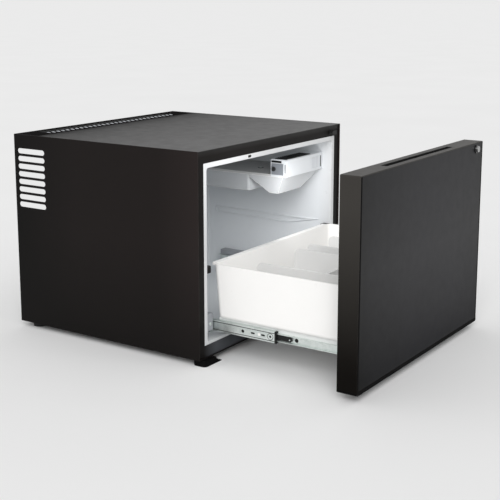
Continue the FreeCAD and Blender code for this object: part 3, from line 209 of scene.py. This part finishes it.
class Shader:
    """A material with a Principled surface and helpers that add texture nodes in metres."""

    def __init__(self, name):
        self.material = bpy.data.materials.new(name)
        self.material.use_nodes = True
        self.nodes = self.material.node_tree.nodes
        self.links = self.material.node_tree.links
        self.surface = self.nodes["Principled BSDF"]
        self.place = self.nodes.new("ShaderNodeTexCoord").outputs["Object"]

    def set(self, **values):
        for name, value in values.items():
            self.surface.inputs[name.replace("_", " ")].default_value = value

    def inner_shade(self, output, name):
        self.links.new(output, self.surface.inputs[name])

    def stretched(self, stretch):
        mapping = self.nodes.new("ShaderNodeMapping")
        mapping.inputs["Scale"].default_value = stretch
        self.links.new(self.place, mapping.inputs["Vector"])
        return mapping.outputs["Vector"]

    def noise(self, scale, detail=2.0, rough=0.5, stretch=(1, 1, 1)):
        node = self.nodes.new("ShaderNodeTexNoise")
        node.inputs["Scale"].default_value = scale
        node.inputs["Detail"].default_value = detail
        node.inputs["Roughness"].default_value = rough
        self.links.new(self.stretched(stretch), node.inputs["Vector"])
        return node.outputs["Fac"]

    def cells(self, scale, output="Distance"):
        node = self.nodes.new("ShaderNodeTexVoronoi")
        node.inputs["Scale"].default_value = scale
        self.links.new(self.stretched((1, 1, 1)), node.inputs["Vector"])
        return node.outputs[output]

    def ramp(self, source, stops):
        """Colours at chosen places of a 0 to 1 value."""
        node = self.nodes.new("ShaderNodeValToRGB")
        points = node.color_ramp.elements
        for number, (where, colour) in enumerate(stops):
            point = points[number] if number < 2 else points.new(where)
            point.position = where
            point.color = colour
        self.links.new(source, node.inputs["Fac"])
        return node.outputs["Color"]

    def span(self, source, low, high, start=0.0, end=1.0):
        """A value that runs from low to high while the source runs from start to end."""
        node = self.nodes.new("ShaderNodeMapRange")
        node.inputs["From Min"].default_value = start
        node.inputs["From Max"].default_value = end
        node.inputs["To Min"].default_value = low
        node.inputs["To Max"].default_value = high
        self.links.new(source, node.inputs["Value"])
        return node.outputs["Result"]

    def mixed(self, factor, first, second):
        """One colour over another by a factor; each is a colour or an output."""
        node = self.nodes.new("ShaderNodeMix")
        node.data_type = "RGBA"
        self.links.new(factor, node.inputs["Factor"])
        for value, slot in ((first, MIX_FIRST), (second, MIX_SECOND)):
            if isinstance(value, tuple):
                node.inputs[slot].default_value = value
            else:
                self.links.new(value, node.inputs[slot])
        return node.outputs[MIX_RESULT]

    def product(self, first, second):
        node = self.nodes.new("ShaderNodeMath")
        node.operation = "MULTIPLY"
        self.links.new(first, node.inputs[0])
        self.links.new(second, node.inputs[1])
        return node.outputs["Value"]

    def drift(self, source, dark, light, start=NOISE_LOW, end=NOISE_HIGH):
        """A colour that runs from dark to light with a noise."""
        return self.ramp(source, [(start, dark), (end, light)])

    def roughness(self, source, low, high, start=NOISE_LOW, end=NOISE_HIGH):
        """Roughness that runs from low to high with a noise."""
        self.inner_shade(self.span(source, low, high, start, end), "Roughness")

    def rounded(self, radius):
        """The normal over softly rounded edges."""
        node = self.nodes.new("ShaderNodeBevel")
        node.samples = BEVEL_SAMPLES
        node.inputs["Radius"].default_value = radius
        return node.outputs["Normal"]

    def worn_edge(self, radius, strength):
        """A mask that is high along edges, broken up by noise."""
        soft = self.rounded(radius)
        flat = self.nodes.new("ShaderNodeNewGeometry").outputs["Normal"]
        facing = self.nodes.new("ShaderNodeVectorMath")
        facing.operation = "DOT_PRODUCT"
        self.links.new(soft, facing.inputs[0])
        self.links.new(flat, facing.inputs[1])
        edge = self.span(facing.outputs["Value"], strength, 0.0, WORN_COSINE, FLAT_COSINE)
        patches = self.noise(scale=60, detail=4)
        return self.product(edge, self.span(patches, low=0.2, high=1.0, start=0.4, end=0.65))

    def along(self, axis, stops, start, end):
        """Colours along one axis of the part, from start to end in metres."""
        parts = self.nodes.new("ShaderNodeSeparateXYZ")
        self.links.new(self.place, parts.inputs["Vector"])
        return self.ramp(self.span(parts.outputs[axis], 0.0, 1.0, start, end), stops)

    def faded(self, colour, fade):
        """Another colour over the first, shared out by the product of ramps along the part."""
        other, ramps = fade
        share = self.along(*ramps[0])
        for ramp in ramps[1:]:
            share = self.product(share, self.along(*ramp))
        return self.mixed(share, colour, other)

    def bump(self, layers, edge=BEVEL_RADIUS):
        """Bumps stacked from (height output, depth in metres) pairs, over softly rounded edges."""
        normal = self.rounded(edge)
        for height, depth in layers:
            node = self.nodes.new("ShaderNodeBump")
            node.inputs["Strength"].default_value = 1.0
            node.inputs["Distance"].default_value = depth
            self.links.new(height, node.inputs["Height"])
            self.links.new(normal, node.inputs["Normal"])
            normal = node.outputs["Normal"]
        self.inner_shade(normal, "Normal")


# Materials

RUBBED_STEEL = tone(92, 90, 88)


def powder_coat(name, dark, light, specular, rough, rubbed=RUBBED_STEEL, fade=None, gloss=None):
    """Powder coat on sheet steel: fine pebbles, slow colour drift and rubbed edges."""
    shader = Shader(name)
    shader.set(Specular_IOR_Level=specular)
    if gloss:
        shader.inner_shade(shader.along(*gloss), "Specular IOR Level")
    colour = shader.drift(shader.noise(scale=5, detail=2), dark, light)
    if fade:
        colour = shader.faded(colour, fade)
    worn = shader.worn_edge(COAT_EDGE, COAT_WEAR)
    shader.inner_shade(shader.mixed(worn, colour, rubbed), "Base Color")
    patches = shader.noise(scale=45, detail=4)
    shader.roughness(patches, rough - COAT_SPREAD, rough + COAT_SPREAD)
    shader.bump([(shader.noise(COAT_PEBBLES, detail=2), COAT_DEPTH)])
    return shader.material


def moulded(name, dark, light, rough, grain=MOULD_GRAIN, depth=MOULD_DEPTH, specular=0.5):
    """Moulded plastic: fine spark-eroded grain, slight colour drift, pale edges, dull patches."""
    shader = Shader(name)
    shader.set(Specular_IOR_Level=specular)
    colour = shader.drift(shader.noise(scale=14, detail=3), dark, light)
    worn = shader.worn_edge(MOULD_EDGE, MOULD_WEAR)
    pale = tuple(min(1.0, part * MOULD_GAIN + MOULD_LIFT) for part in light[:3]) + (1.0,)
    shader.inner_shade(shader.mixed(worn, colour, pale), "Base Color")
    patches = shader.noise(scale=30, detail=4)
    shader.roughness(patches, rough - MOULD_SPREAD, rough + MOULD_SPREAD)
    shader.bump([(shader.cells(grain), depth)])
    return shader.material


def white_plastic(name, dark, light, rough, wave, fade=None):
    """Formed white plastic: satin skin, gentle waviness and faint handling marks."""
    shader = Shader(name)
    shader.set(Specular_IOR_Level=0.5)
    colour = shader.drift(shader.noise(scale=6, detail=3), dark, light)
    if fade:
        colour = shader.faded(colour, fade)
    spots = shader.noise(scale=70, detail=5, rough=0.7)
    marks = shader.span(spots, low=0.0, high=0.18, start=0.62, end=0.8)
    shader.inner_shade(shader.mixed(marks, colour, tone(205, 205, 202)), "Base Color")
    patches = shader.noise(scale=25, detail=4)
    shader.roughness(patches, rough - WHITE_SPREAD, rough + WHITE_SPREAD)
    waves = shader.noise(WHITE_WAVES, detail=1)
    grain = shader.noise(WHITE_GRAIN, detail=1)
    shader.bump([(waves, wave), (grain, WHITE_DEPTH)], WHITE_EDGE)
    return shader.material


def ribbed_plastic(name, dark, light, rough):
    """Opal plastic with fine upright ribs of uneven width."""
    shader = Shader(name)
    ribs = shader.noise(RIB_SCALE, detail=1, stretch=(1, 0, 0))
    shader.inner_shade(shader.drift(ribs, dark, light, start=0.35, end=0.6), "Base Color")
    scuffs = shader.noise(scale=60, detail=4)
    shader.roughness(scuffs, rough, rough + SCUFF_SPREAD, start=0.4, end=0.8)
    shader.bump([(ribs, RIB_DEPTH)])
    return shader.material


def zinc(name, dark, light, rough):
    """Zinc-plated steel: crystal patches, drawing lines along the length and faint stains."""
    shader = Shader(name)
    shader.set(Metallic=1.0)
    crystals = shader.cells(ZINC_CRYSTALS, output="Color")
    colour = shader.drift(crystals, dark, light, start=0.2, end=0.8)
    stain = shader.span(shader.noise(scale=35, detail=4), low=0.0, high=0.2, start=0.5, end=0.8)
    shader.inner_shade(shader.mixed(stain, colour, tone(176, 180, 178)), "Base Color")
    lines = shader.noise(ZINC_LINES, detail=2, stretch=(1, 0.02, 1))
    shader.roughness(lines, rough - ZINC_SPREAD, rough + ZINC_SPREAD)
    shader.bump([(lines, ZINC_DEPTH)])
    return shader.material


def brushed(name, colour, shade, rough, stretch):
    """Bare metal with fine brushing along one direction."""
    shader = Shader(name)
    shader.set(Metallic=1.0)
    lines = shader.noise(BRUSH_LINES, detail=3, stretch=stretch)
    shader.inner_shade(shader.drift(lines, shade, colour), "Base Color")
    patches = shader.noise(scale=50, detail=4)
    shader.roughness(patches, rough - BRUSH_SMOOTHER, rough + BRUSH_ROUGHER)
    shader.bump([(lines, BRUSH_DEPTH)])
    return shader.material


def clear_plastic(name, tint, rough, clear):
    """Milky clear moulded plastic with a slight drift of its tint and a few scuffs."""
    shader = Shader(name)
    shader.set(Transmission_Weight=clear, IOR=CLEAR_IOR)
    colour = shader.drift(shader.noise(scale=16, detail=2), tint, tone(248, 250, 252))
    shader.inner_shade(colour, "Base Color")
    scuffs = shader.noise(scale=60, detail=5)
    shader.roughness(scuffs, rough, rough + SCUFF_SPREAD, start=0.5, end=0.8)
    shader.bump([(shader.noise(CLEAR_GRAIN, detail=1), CLEAR_DEPTH)])
    return shader.material


def foam(name, dark, light):
    """Blown foam with open cells."""
    shader = Shader(name)
    pores = shader.cells(FOAM_PORES)
    shader.inner_shade(shader.drift(pores, dark, light, start=0.1, end=0.6), "Base Color")
    shader.roughness(pores, low=0.95, high=0.75, start=0.0, end=1.0)
    shader.bump([(pores, FOAM_DEPTH)])
    return shader.material


# Each fade is another colour with the ramps that share it out, and each gloss a ramp of the
# specular level: an axis, its stops and the two places along the axis between which they run
FALLING = [(0.0, level(1.0)), (1.0, level(0.0))]
RISING = [(0.0, level(0.0)), (1.0, level(1.0))]
# The side panels are painted paler towards the front as a painted highlight, and this highlight is
# weaker near the floor as a painted shade
SIDE_FRONT_LIGHT = [(0.0, level(1.0)), (0.2, level(0.5)), (0.65, level(0.4)), (1.0, level(0.0))]
SIDE_LOW_SHADE = [(0.0, level(0.25)), (1.0, level(1.0))]
SIDE_PAINTED_LIGHT = (tone(37, 31, 30), [("Y", SIDE_FRONT_LIGHT, -0.07, 0.43), ("Z", SIDE_LOW_SHADE, 0.02, 0.24)])
# The paint of the drawer front is painted darker at its left and right edges, a painted shade, and
# duller low down
SKIN_EDGE_SHADE = [
    (0.0, level(1.0)),
    (0.1, level(0.5)),
    (0.35, level(0.0)),
    (0.8, level(0.1)),
    (0.98, level(0.45)),
    (1.0, level(1.0)),
]
SKIN_PAINTED_SHADE = (tone(17, 17, 18), [("X", SKIN_EDGE_SHADE, -0.275, 0.275)])
SKIN_GLOSS = ("Z", [(0.0, level(0.04)), (0.55, level(0.17)), (1.0, level(0.13))], 0.04, 0.4)
# The band of the drawer front is painted darker low down, a painted shade, and duller low down
BAND_LOW_SHADE = (tone(15, 13, 11), [("Z", FALLING, 0.05, 0.36)])
BAND_GLOSS = ("Z", [(0.0, level(0.03)), (1.0, level(0.32))], 0.08, 0.36)
# The lip of the liner is painted greyer than its inside, a painted shade
LIP_SHADE = (tone(212, 213, 214), [("Y", FALLING, -0.068, -0.03)])

MATERIALS = {
    "cabinet_black": powder_coat(
        "cabinet_black", tone(9, 8, 7), tone(12, 10, 9), specular=0.09, rough=0.5, fade=SIDE_PAINTED_LIGHT
    ),
    "front_skin": powder_coat(
        "front_skin", tone(31, 31, 33), tone(34, 34, 37), specular=0.16, rough=0.42,
        fade=SKIN_PAINTED_SHADE, gloss=SKIN_GLOSS,
    ),
    "front_band": powder_coat(
        "front_band", tone(42, 39, 36), tone(47, 44, 40), specular=0.3, rough=0.5,
        rubbed=tone(80, 78, 74), fade=BAND_LOW_SHADE, gloss=BAND_GLOSS,
    ),
    "black_plastic": moulded(
        "black_plastic", tone(20, 20, 20), tone(26, 26, 26), rough=0.5, specular=0.25
    ),
    "liner_white": white_plastic(
        "liner_white", tone(232, 235, 238), tone(238, 241, 243), rough=0.35, wave=0.0001,
        fade=LIP_SHADE,
    ),
    "bin_white": white_plastic(
        "bin_white", tone(243, 242, 240), tone(247, 246, 244), rough=0.38, wave=0.0001
    ),
    "carrier_white": powder_coat(
        "carrier_white", tone(228, 230, 229), tone(234, 236, 235), specular=0.4, rough=0.45,
        rubbed=tone(206, 208, 207),
    ),
    "foam": foam("foam", tone(168, 148, 92), tone(226, 208, 150)),
    "zinc_steel": zinc("zinc_steel", tone(220, 227, 224), tone(230, 236, 233), rough=0.36),
    "bracket_grey": powder_coat(
        "bracket_grey", tone(150, 153, 158), tone(160, 163, 168), specular=0.4, rough=0.4,
        rubbed=tone(196, 198, 200),
    ),
    "ball_steel": brushed(
        "ball_steel", tone(214, 216, 218), tone(170, 172, 175), rough=0.2, stretch=(1, 0.05, 1)
    ),
    "dial_grey": powder_coat(
        "dial_grey", tone(126, 130, 136), tone(136, 140, 145), specular=0.5, rough=0.35,
        rubbed=tone(190, 192, 195),
    ),
    "dial_dark": moulded("dial_dark", tone(36, 36, 36), tone(50, 50, 50), rough=0.45),
    "lens": ribbed_plastic("lens", tone(196, 199, 203), tone(224, 227, 230), rough=0.3),
    "evaporator_dark": moulded(
        "evaporator_dark", tone(190, 190, 190), tone(199, 199, 198), rough=0.55
    ),
    "fin_aluminium": brushed(
        "fin_aluminium", tone(232, 234, 236), tone(206, 209, 212), rough=0.35, stretch=(1, 0.03, 1)
    ),
    "clear_plastic": clear_plastic("clear_plastic", tone(246, 249, 252), rough=0.06, clear=0.36),
    "gasket": moulded(
        "gasket", tone(40, 40, 41), tone(56, 56, 57), rough=0.6, grain=900, depth=0.00002
    ),
    "lock_ring": moulded("lock_ring", tone(16, 16, 16), tone(24, 24, 24), rough=0.25),
    "lock_face": brushed(
        "lock_face", tone(196, 196, 195), tone(150, 151, 152), rough=0.22, stretch=(0.05, 1, 1)
    ),
    "unit_black": powder_coat(
        "unit_black", tone(24, 24, 25), tone(34, 34, 35), specular=0.4, rough=0.42
    ),
}
# The top is a paler copy of the cabinet's black, a painted highlight of the light on the top, and
# glossier towards the front
TOP_GLOSS = ("Y", [(0.0, level(0.36)), (0.5, level(0.17)), (1.0, level(0.0))], -0.07, 0.36)
# The bar under the opening is painted paler than the rest of the frame, a painted highlight, and
# the frame's top glossier
FRAME_BAR_LIGHT = [(0.0, level(1.0)), (0.9, level(1.0)), (1.0, level(0.0))]
FRAME_BAR_PAINTED_LIGHT = (tone(76, 78, 82), [("Z", FRAME_BAR_LIGHT, 0.0, 0.045), ("X", RISING, -0.262, -0.22)])
FRAME_GLOSS = ("Z", [(0.0, level(0.09)), (0.97, level(0.09)), (1.0, level(0.34))], 0.0, 0.435)
# Near-black trim, feet and grille; on the strips beside the drawer front's skin it is a painted
# shade of the gaps
TRIM_AND_GAP_SHADE_BLACK = moulded("trim_and_gap_shade_black", tone(9, 9, 9), tone(13, 13, 13), rough=0.6, specular=0.03)
# The dividers are a greyer copy of the bin's white, a painted shade
DIVIDER_SHADED_WHITE = white_plastic(
    "divider_shaded_white", tone(216, 216, 215), tone(222, 222, 221), rough=0.38, wave=0.0001
)
NODE_MATERIALS = {
    # The top's paler black is a painted highlight of the light that falls on it
    "top_panel": powder_coat(
        "top_black_lit", tone(26, 25, 25), tone(30, 29, 29), specular=0.28, rough=0.42, gloss=TOP_GLOSS
    ),
    "front_frame": powder_coat(
        "frame_black", tone(20, 18, 17), tone(24, 22, 21), specular=0.09, rough=0.5,
        fade=FRAME_BAR_PAINTED_LIGHT, gloss=FRAME_GLOSS,
    ),
    "bottom_trim": TRIM_AND_GAP_SHADE_BLACK,
    "front_feet": TRIM_AND_GAP_SHADE_BLACK,
    "top_grille": TRIM_AND_GAP_SHADE_BLACK,
    "lamp_housing": white_plastic(
        "lamp_white", tone(218, 221, 224), tone(224, 227, 230), rough=0.35, wave=0.00005
    ),
    "long_dividers": DIVIDER_SHADED_WHITE,
    "cross_dividers": DIVIDER_SHADED_WHITE,
}


def dress_nodes():
    """Every node takes its own material, or the scene's material of its slot in the record."""
    for row in frame["record"]["subparts"]:
        node = frame["nodes"][row["node"]]
        node.data.materials.clear()
        node.data.materials.append(
            NODE_MATERIALS.get(row["node"], MATERIALS[row["material_slot"]])
        )


# Small parts


def strip_outline(length, width):
    """Corners of a flat strip with round ends, in the YZ plane."""
    radius = width / 2
    corners = []
    for end, start in ((length - radius, -90), (radius, 90)):
        for step in range(STRIP_STEPS + 1):
            angle = math.radians(start + 180 * step / STRIP_STEPS)
            corners.append((0.0, end + radius * math.cos(angle), radius * math.sin(angle)))
    return corners


def add_piece(name, sheet, material, body):
    """Turns a finished bmesh into a named piece that moves with a body."""
    bmesh.ops.recalc_face_normals(sheet, faces=sheet.faces)
    mesh = bpy.data.meshes.new(name)
    sheet.to_mesh(mesh)
    sheet.free()
    mesh.materials.append(material)
    piece = bpy.data.objects.new(name, mesh)
    bpy.context.scene.collection.objects.link(piece)
    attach(piece, body)


def draw_prism(sheet, near, far):
    """A closed solid between two outlines of as many points each."""
    start = [sheet.verts.new(corner) for corner in near]
    end = [sheet.verts.new(corner) for corner in far]
    for number in range(len(start)):
        after = (number + 1) % len(start)
        sheet.faces.new((start[number], start[after], end[after], end[number]))
    sheet.faces.new(reversed(start))
    sheet.faces.new(end)


def draw_slab(sheet, outline, rise):
    """A flat slab on a closed outline, as thick as rise."""
    draw_prism(sheet, outline, [corner + rise for corner in outline])


def draw_strip(sheet, place, length, width):
    """A thin strip with round ends that stands on its edge along the rail."""
    outline = [Vector(place) + Vector(corner) for corner in strip_outline(length, width)]
    draw_slab(sheet, outline, Vector((STRIP_THICK, 0, 0)))


def draw_frame(sheet, inner, outer, rise):
    """A flat frame between two closed outlines of as many points each, as thick as rise."""
    loops = []
    for outline, lift in ((inner, 0), (inner, 1), (outer, 1), (outer, 0)):
        loops.append([sheet.verts.new(corner + rise * lift) for corner in outline])
    for number, here in enumerate(loops):
        there = loops[(number + 1) % len(loops)]
        for step in range(len(inner)):
            after = (step + 1) % len(inner)
            sheet.faces.new((here[step], here[after], there[after], there[step]))


def draw_ring(sheet, middle, first, second, radii, thick):
    """A flat ring around middle in the plane of two directions, thick along their normal."""
    turns = [math.tau * step / RING_STEPS for step in range(RING_STEPS)]
    arms = [first * math.cos(turn) + second * math.sin(turn) for turn in turns]
    inner = [middle + arm * radii[0] for arm in arms]
    outer = [middle + arm * radii[1] for arm in arms]
    draw_frame(sheet, inner, outer, first.cross(second) * thick)


def add_rail_marks(side, web, floor, skin):
    """The painted shade behind the holes and in the pressed lines and ring, and the rivet of a
    middle rail, each at its place across the rail.
    """
    low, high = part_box("rail_middle_" + side)
    middle = (low.z + high.z) / 2
    hole_shade_strip = bmesh.new()
    draw_strip(hole_shade_strip, (web, low.y + HOLE_SHADE_LEAD, middle), HOLE_SHADE_LENGTH, HOLE_SHADE_WIDTH)
    add_piece("rail_middle_hole_shade_" + side, hole_shade_strip, MATERIALS["black_plastic"], "rail_" + side)
    groove_shade = bmesh.new()
    for height in (low.z + GROOVE_IN, high.z - GROOVE_IN):
        draw_strip(groove_shade, (floor, low.y, height), high.y - low.y, GROOVE_WIDTH)
    centre = Vector((floor, low.y + SHADE_RING_LEAD, middle))
    radii = (SHADE_RING_IN, SHADE_RING_OUT)
    draw_ring(groove_shade, centre, Vector((0, 1, 0)), Vector((0, 0, 1)), radii, STRIP_THICK)
    add_piece("rail_groove_shade_" + side, groove_shade, MATERIALS["black_plastic"], "rail_" + side)
    rivet = bmesh.new()
    draw_strip(rivet, (skin, low.y + RIVET_LEAD - RIVET_SIZE / 2, middle), RIVET_SIZE, RIVET_SIZE)
    add_piece("rail_rivet_" + side, rivet, MATERIALS["bin_white"], "rail_" + side)


def add_inner_hole_shade(side, face):
    """A dark disc in the hole of an inner rail, in front of its release lever: a painted shade in
    the hole.
    """
    low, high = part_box("rail_middle_" + side)
    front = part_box("release_lever_" + side)[0].y - INNER_SHADE_LEAD - INNER_SHADE_SIZE / 2
    inner_shade = bmesh.new()
    draw_strip(inner_shade, (face, front, (low.z + high.z) / 2), INNER_SHADE_SIZE, INNER_SHADE_SIZE)
    add_piece("rail_inner_hole_shade_" + side, inner_shade, MATERIALS["black_plastic"], "drawer")


def add_rail_details():
    """Marks of the middle rails, from their outer faces, and painted shade in the holes of the
    inner rails, from the bin carriers.
    """
    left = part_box("rail_middle_left")[0].x
    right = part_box("rail_middle_right")[1].x
    add_rail_marks(
        "left",
        web=left + WEB_THICK,
        floor=left + GROOVE_DEPTH - STRIP_THICK,
        skin=left - RIVET_PROUD,
    )
    add_rail_marks(
        "right",
        web=right - WEB_THICK - STRIP_THICK,
        floor=right - GROOVE_DEPTH,
        skin=right + RIVET_PROUD - STRIP_THICK,
    )
    low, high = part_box("bin_carriers")
    add_inner_hole_shade("left", low.x - INNER_SHADE_STANDOFF)
    add_inner_hole_shade("right", high.x + INNER_SHADE_STANDOFF - STRIP_THICK)


def add_vent_collars(side, inside):
    """Collars behind the air slots of a side panel, which round off the ends seen from outside."""
    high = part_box("side_panel_" + side)[1]
    length = VENT_FRONT - VENT_REAR
    slot = strip_outline(length, VENT_HEIGHT)
    wide = strip_outline(length + VENT_LAP + VENT_REAR_LAP, VENT_HEIGHT + 2 * VENT_LAP)
    lap = Vector((0, VENT_LAP, 0))
    collars = bmesh.new()
    for number in range(VENT_COUNT):
        height = high.z - VENT_DROP - number * VENT_PITCH
        start = Vector((inside, high.y - VENT_FRONT, height))
        inner = [start + Vector(corner) for corner in slot]
        outer = [start - lap + Vector(corner) for corner in wide]
        draw_frame(collars, inner, outer, Vector((STRIP_THICK, 0, 0)))
    add_piece("vent_collars_" + side, collars, MATERIALS["black_plastic"], "cabinet")


def add_vents():
    """Collars on the inner faces of both side panels."""
    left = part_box("side_panel_left")[0].x
    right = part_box("side_panel_right")[1].x
    add_vent_collars("left", left + PANEL_SHEET)
    add_vent_collars("right", right - PANEL_SHEET - STRIP_THICK)


def add_grille_slot_highlights():
    """Pale tongues in the front slots of the top grille, which rise towards the rear: a painted
    highlight of the light seen through the slots.
    """
    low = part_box("top_grille")[0]
    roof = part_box("top_panel")[1].z - TONGUE_SINK
    front = low.y + GRILLE_FRONT
    rear = front + TONGUE_LENGTH
    first = low.x + GRILLE_LIP + (GRILLE_PITCH - TONGUE_WIDTH) / 2
    slot_highlights = bmesh.new()
    for number in range(GRILLE_SLOTS):
        left = first + number * GRILLE_PITCH
        right = left + TONGUE_WIDTH
        outline = [
            Vector((left, front, low.z)),
            Vector((right, front, low.z)),
            Vector((right, rear, roof)),
            Vector((left, rear, roof)),
        ]
        draw_slab(slot_highlights, outline, Vector((0, 0, -TONGUE_THICK)))
    add_piece("grille_slot_highlights", slot_highlights, MATERIALS["bracket_grey"], "cabinet")


def draw_bead(sheet, start, end):
    """A thin four-sided bead along one edge."""
    along = (end - start).normalized()
    side = along.orthogonal().normalized()
    over = along.cross(side)
    corners = [side * BEAD_HALF, over * BEAD_HALF, side * -BEAD_HALF, over * -BEAD_HALF]
    near, far = [[tip + corner for corner in corners] for tip in (start, end)]
    draw_prism(sheet, near, far)


def add_tray_edge_highlights():
    """Pale beads along the sharp edges of the clear tray: a painted highlight where light leaves
    the plastic.
    """
    tray = frame["nodes"]["drip_tray"]
    source = bmesh.new()
    source.from_mesh(tray.data)
    bmesh.ops.remove_doubles(source, verts=source.verts, dist=WELD_DISTANCE)
    beads = bmesh.new()
    for edge in source.edges:
        if len(edge.link_faces) == 2 and edge.calc_face_angle() > BEAD_ANGLE:
            start, end = [tray.matrix_world @ corner.co for corner in edge.verts]
            draw_bead(beads, start, end)
    source.free()
    add_piece("tray_edge_highlights", beads, MATERIALS["bin_white"], "cabinet")


def add_plate_screw_shade():
    """Dark rings around the screws of the evaporator plate, a painted shade around the screw
    heads.
    """
    lamp_low, lamp_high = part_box("lamp_housing")
    plate_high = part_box("evaporator_plate")[1]
    radii = (SCREW_SHADE_IN, SCREW_SHADE_OUT)
    screw_shades = bmesh.new()
    for depth in (lamp_high.y + SCREW_SHADE_BACK, plate_high.y - SCREW_SHADE_BACK):
        middle = Vector((lamp_low.x + SCREW_SHADE_LEFT, depth, plate_high.z))
        draw_ring(screw_shades, middle, Vector((1, 0, 0)), Vector((0, 1, 0)), radii, SCREW_SHADE_THICK)
    add_piece("plate_screw_shade", screw_shades, MATERIALS["black_plastic"], "cabinet")


# Stage


def add_floor():
    """A wide floor in a pale colour that drifts slightly."""
    sheet = bmesh.new()
    bmesh.ops.create_grid(sheet, x_segments=FLOOR_GRID, y_segments=FLOOR_GRID, size=FLOOR_SIZE)
    mesh = bpy.data.meshes.new("studio_floor")
    sheet.to_mesh(mesh)
    sheet.free()
    floor = bpy.data.objects.new("studio_floor", mesh)
    bpy.context.scene.collection.objects.link(floor)
    shader = Shader("studio_floor")
    shader.set(Specular_IOR_Level=0.0)
    pale = tone(*[part + FLOOR_DRIFT for part in FLOOR_COLOUR])
    colour = shader.drift(shader.noise(scale=2, detail=3), tone(*FLOOR_COLOUR), pale)
    shader.inner_shade(colour, "Base Color")
    patches = shader.noise(scale=8, detail=2)
    shader.roughness(patches, low=0.75, high=0.85, start=0.0, end=1.0)
    mesh.materials.append(shader.material)


def add_world():
    """A plain world: one strength as light, another where it is seen, mirrored or seen through."""
    world = bpy.data.worlds.new("studio")
    world.use_nodes = True
    nodes = world.node_tree.nodes
    links = world.node_tree.links
    background = nodes["Background"]
    background.inputs["Color"].default_value = WORLD_COLOUR
    path = nodes.new("ShaderNodeLightPath")
    seen = path.outputs["Is Camera Ray"]
    for name in ("Is Glossy Ray", "Is Transmission Ray"):
        either = nodes.new("ShaderNodeMath")
        either.operation = "MAXIMUM"
        links.new(seen, either.inputs[0])
        links.new(path.outputs[name], either.inputs[1])
        seen = either.outputs["Value"]
    strength = nodes.new("ShaderNodeMapRange")
    strength.inputs["To Min"].default_value = WORLD_FILL
    strength.inputs["To Max"].default_value = WORLD_SEEN
    links.new(seen, strength.inputs["Value"])
    links.new(strength.outputs["Result"], background.inputs["Strength"])
    bpy.context.scene.world = world


def add_key_light():
    """A broad sun from the left, the front and above."""
    data = bpy.data.lights.new("key_light", "SUN")
    data.energy = KEY_STRENGTH
    data.angle = math.radians(KEY_SPREAD)
    light = bpy.data.objects.new("key_light", data)
    light.rotation_euler = Vector(KEY_FROM).to_track_quat("Z", "Y").to_euler()
    bpy.context.scene.collection.objects.link(light)


def add_soft_boxes():
    """Small soft boxes that light the cold compartment, which is lit inside when it is open."""
    for name, (place, aim, size, power) in SOFT_BOXES.items():
        data = bpy.data.lights.new(name, "AREA")
        data.energy = power
        data.size = size
        light = bpy.data.objects.new(name, data)
        light.location = place
        light.rotation_euler = (Vector(place) - Vector(aim)).to_track_quat("Z", "Y").to_euler()
        light.visible_camera = False
        light.visible_glossy = False
        light.visible_transmission = False
        bpy.context.scene.collection.objects.link(light)


def add_camera():
    """The photograph's view."""
    data = bpy.data.cameras.new("camera")
    data.lens = CAMERA_LENS
    data.sensor_width = CAMERA_SENSOR
    data.shift_y = CAMERA_SHIFT_Y
    camera = bpy.data.objects.new("camera", data)
    camera.location = CAMERA_PLACE
    camera.rotation_euler = (math.radians(90 - CAMERA_PITCH), 0, math.radians(-CAMERA_YAW))
    bpy.context.scene.collection.objects.link(camera)
    bpy.context.scene.camera = camera


dress_nodes()
add_rail_details()
add_vents()
add_grille_slot_highlights()
add_tray_edge_highlights()
add_plate_screw_shade()
add_floor()
add_world()
add_key_light()
add_soft_boxes()
add_camera()
bpy.context.scene.view_settings.view_transform = "Standard"
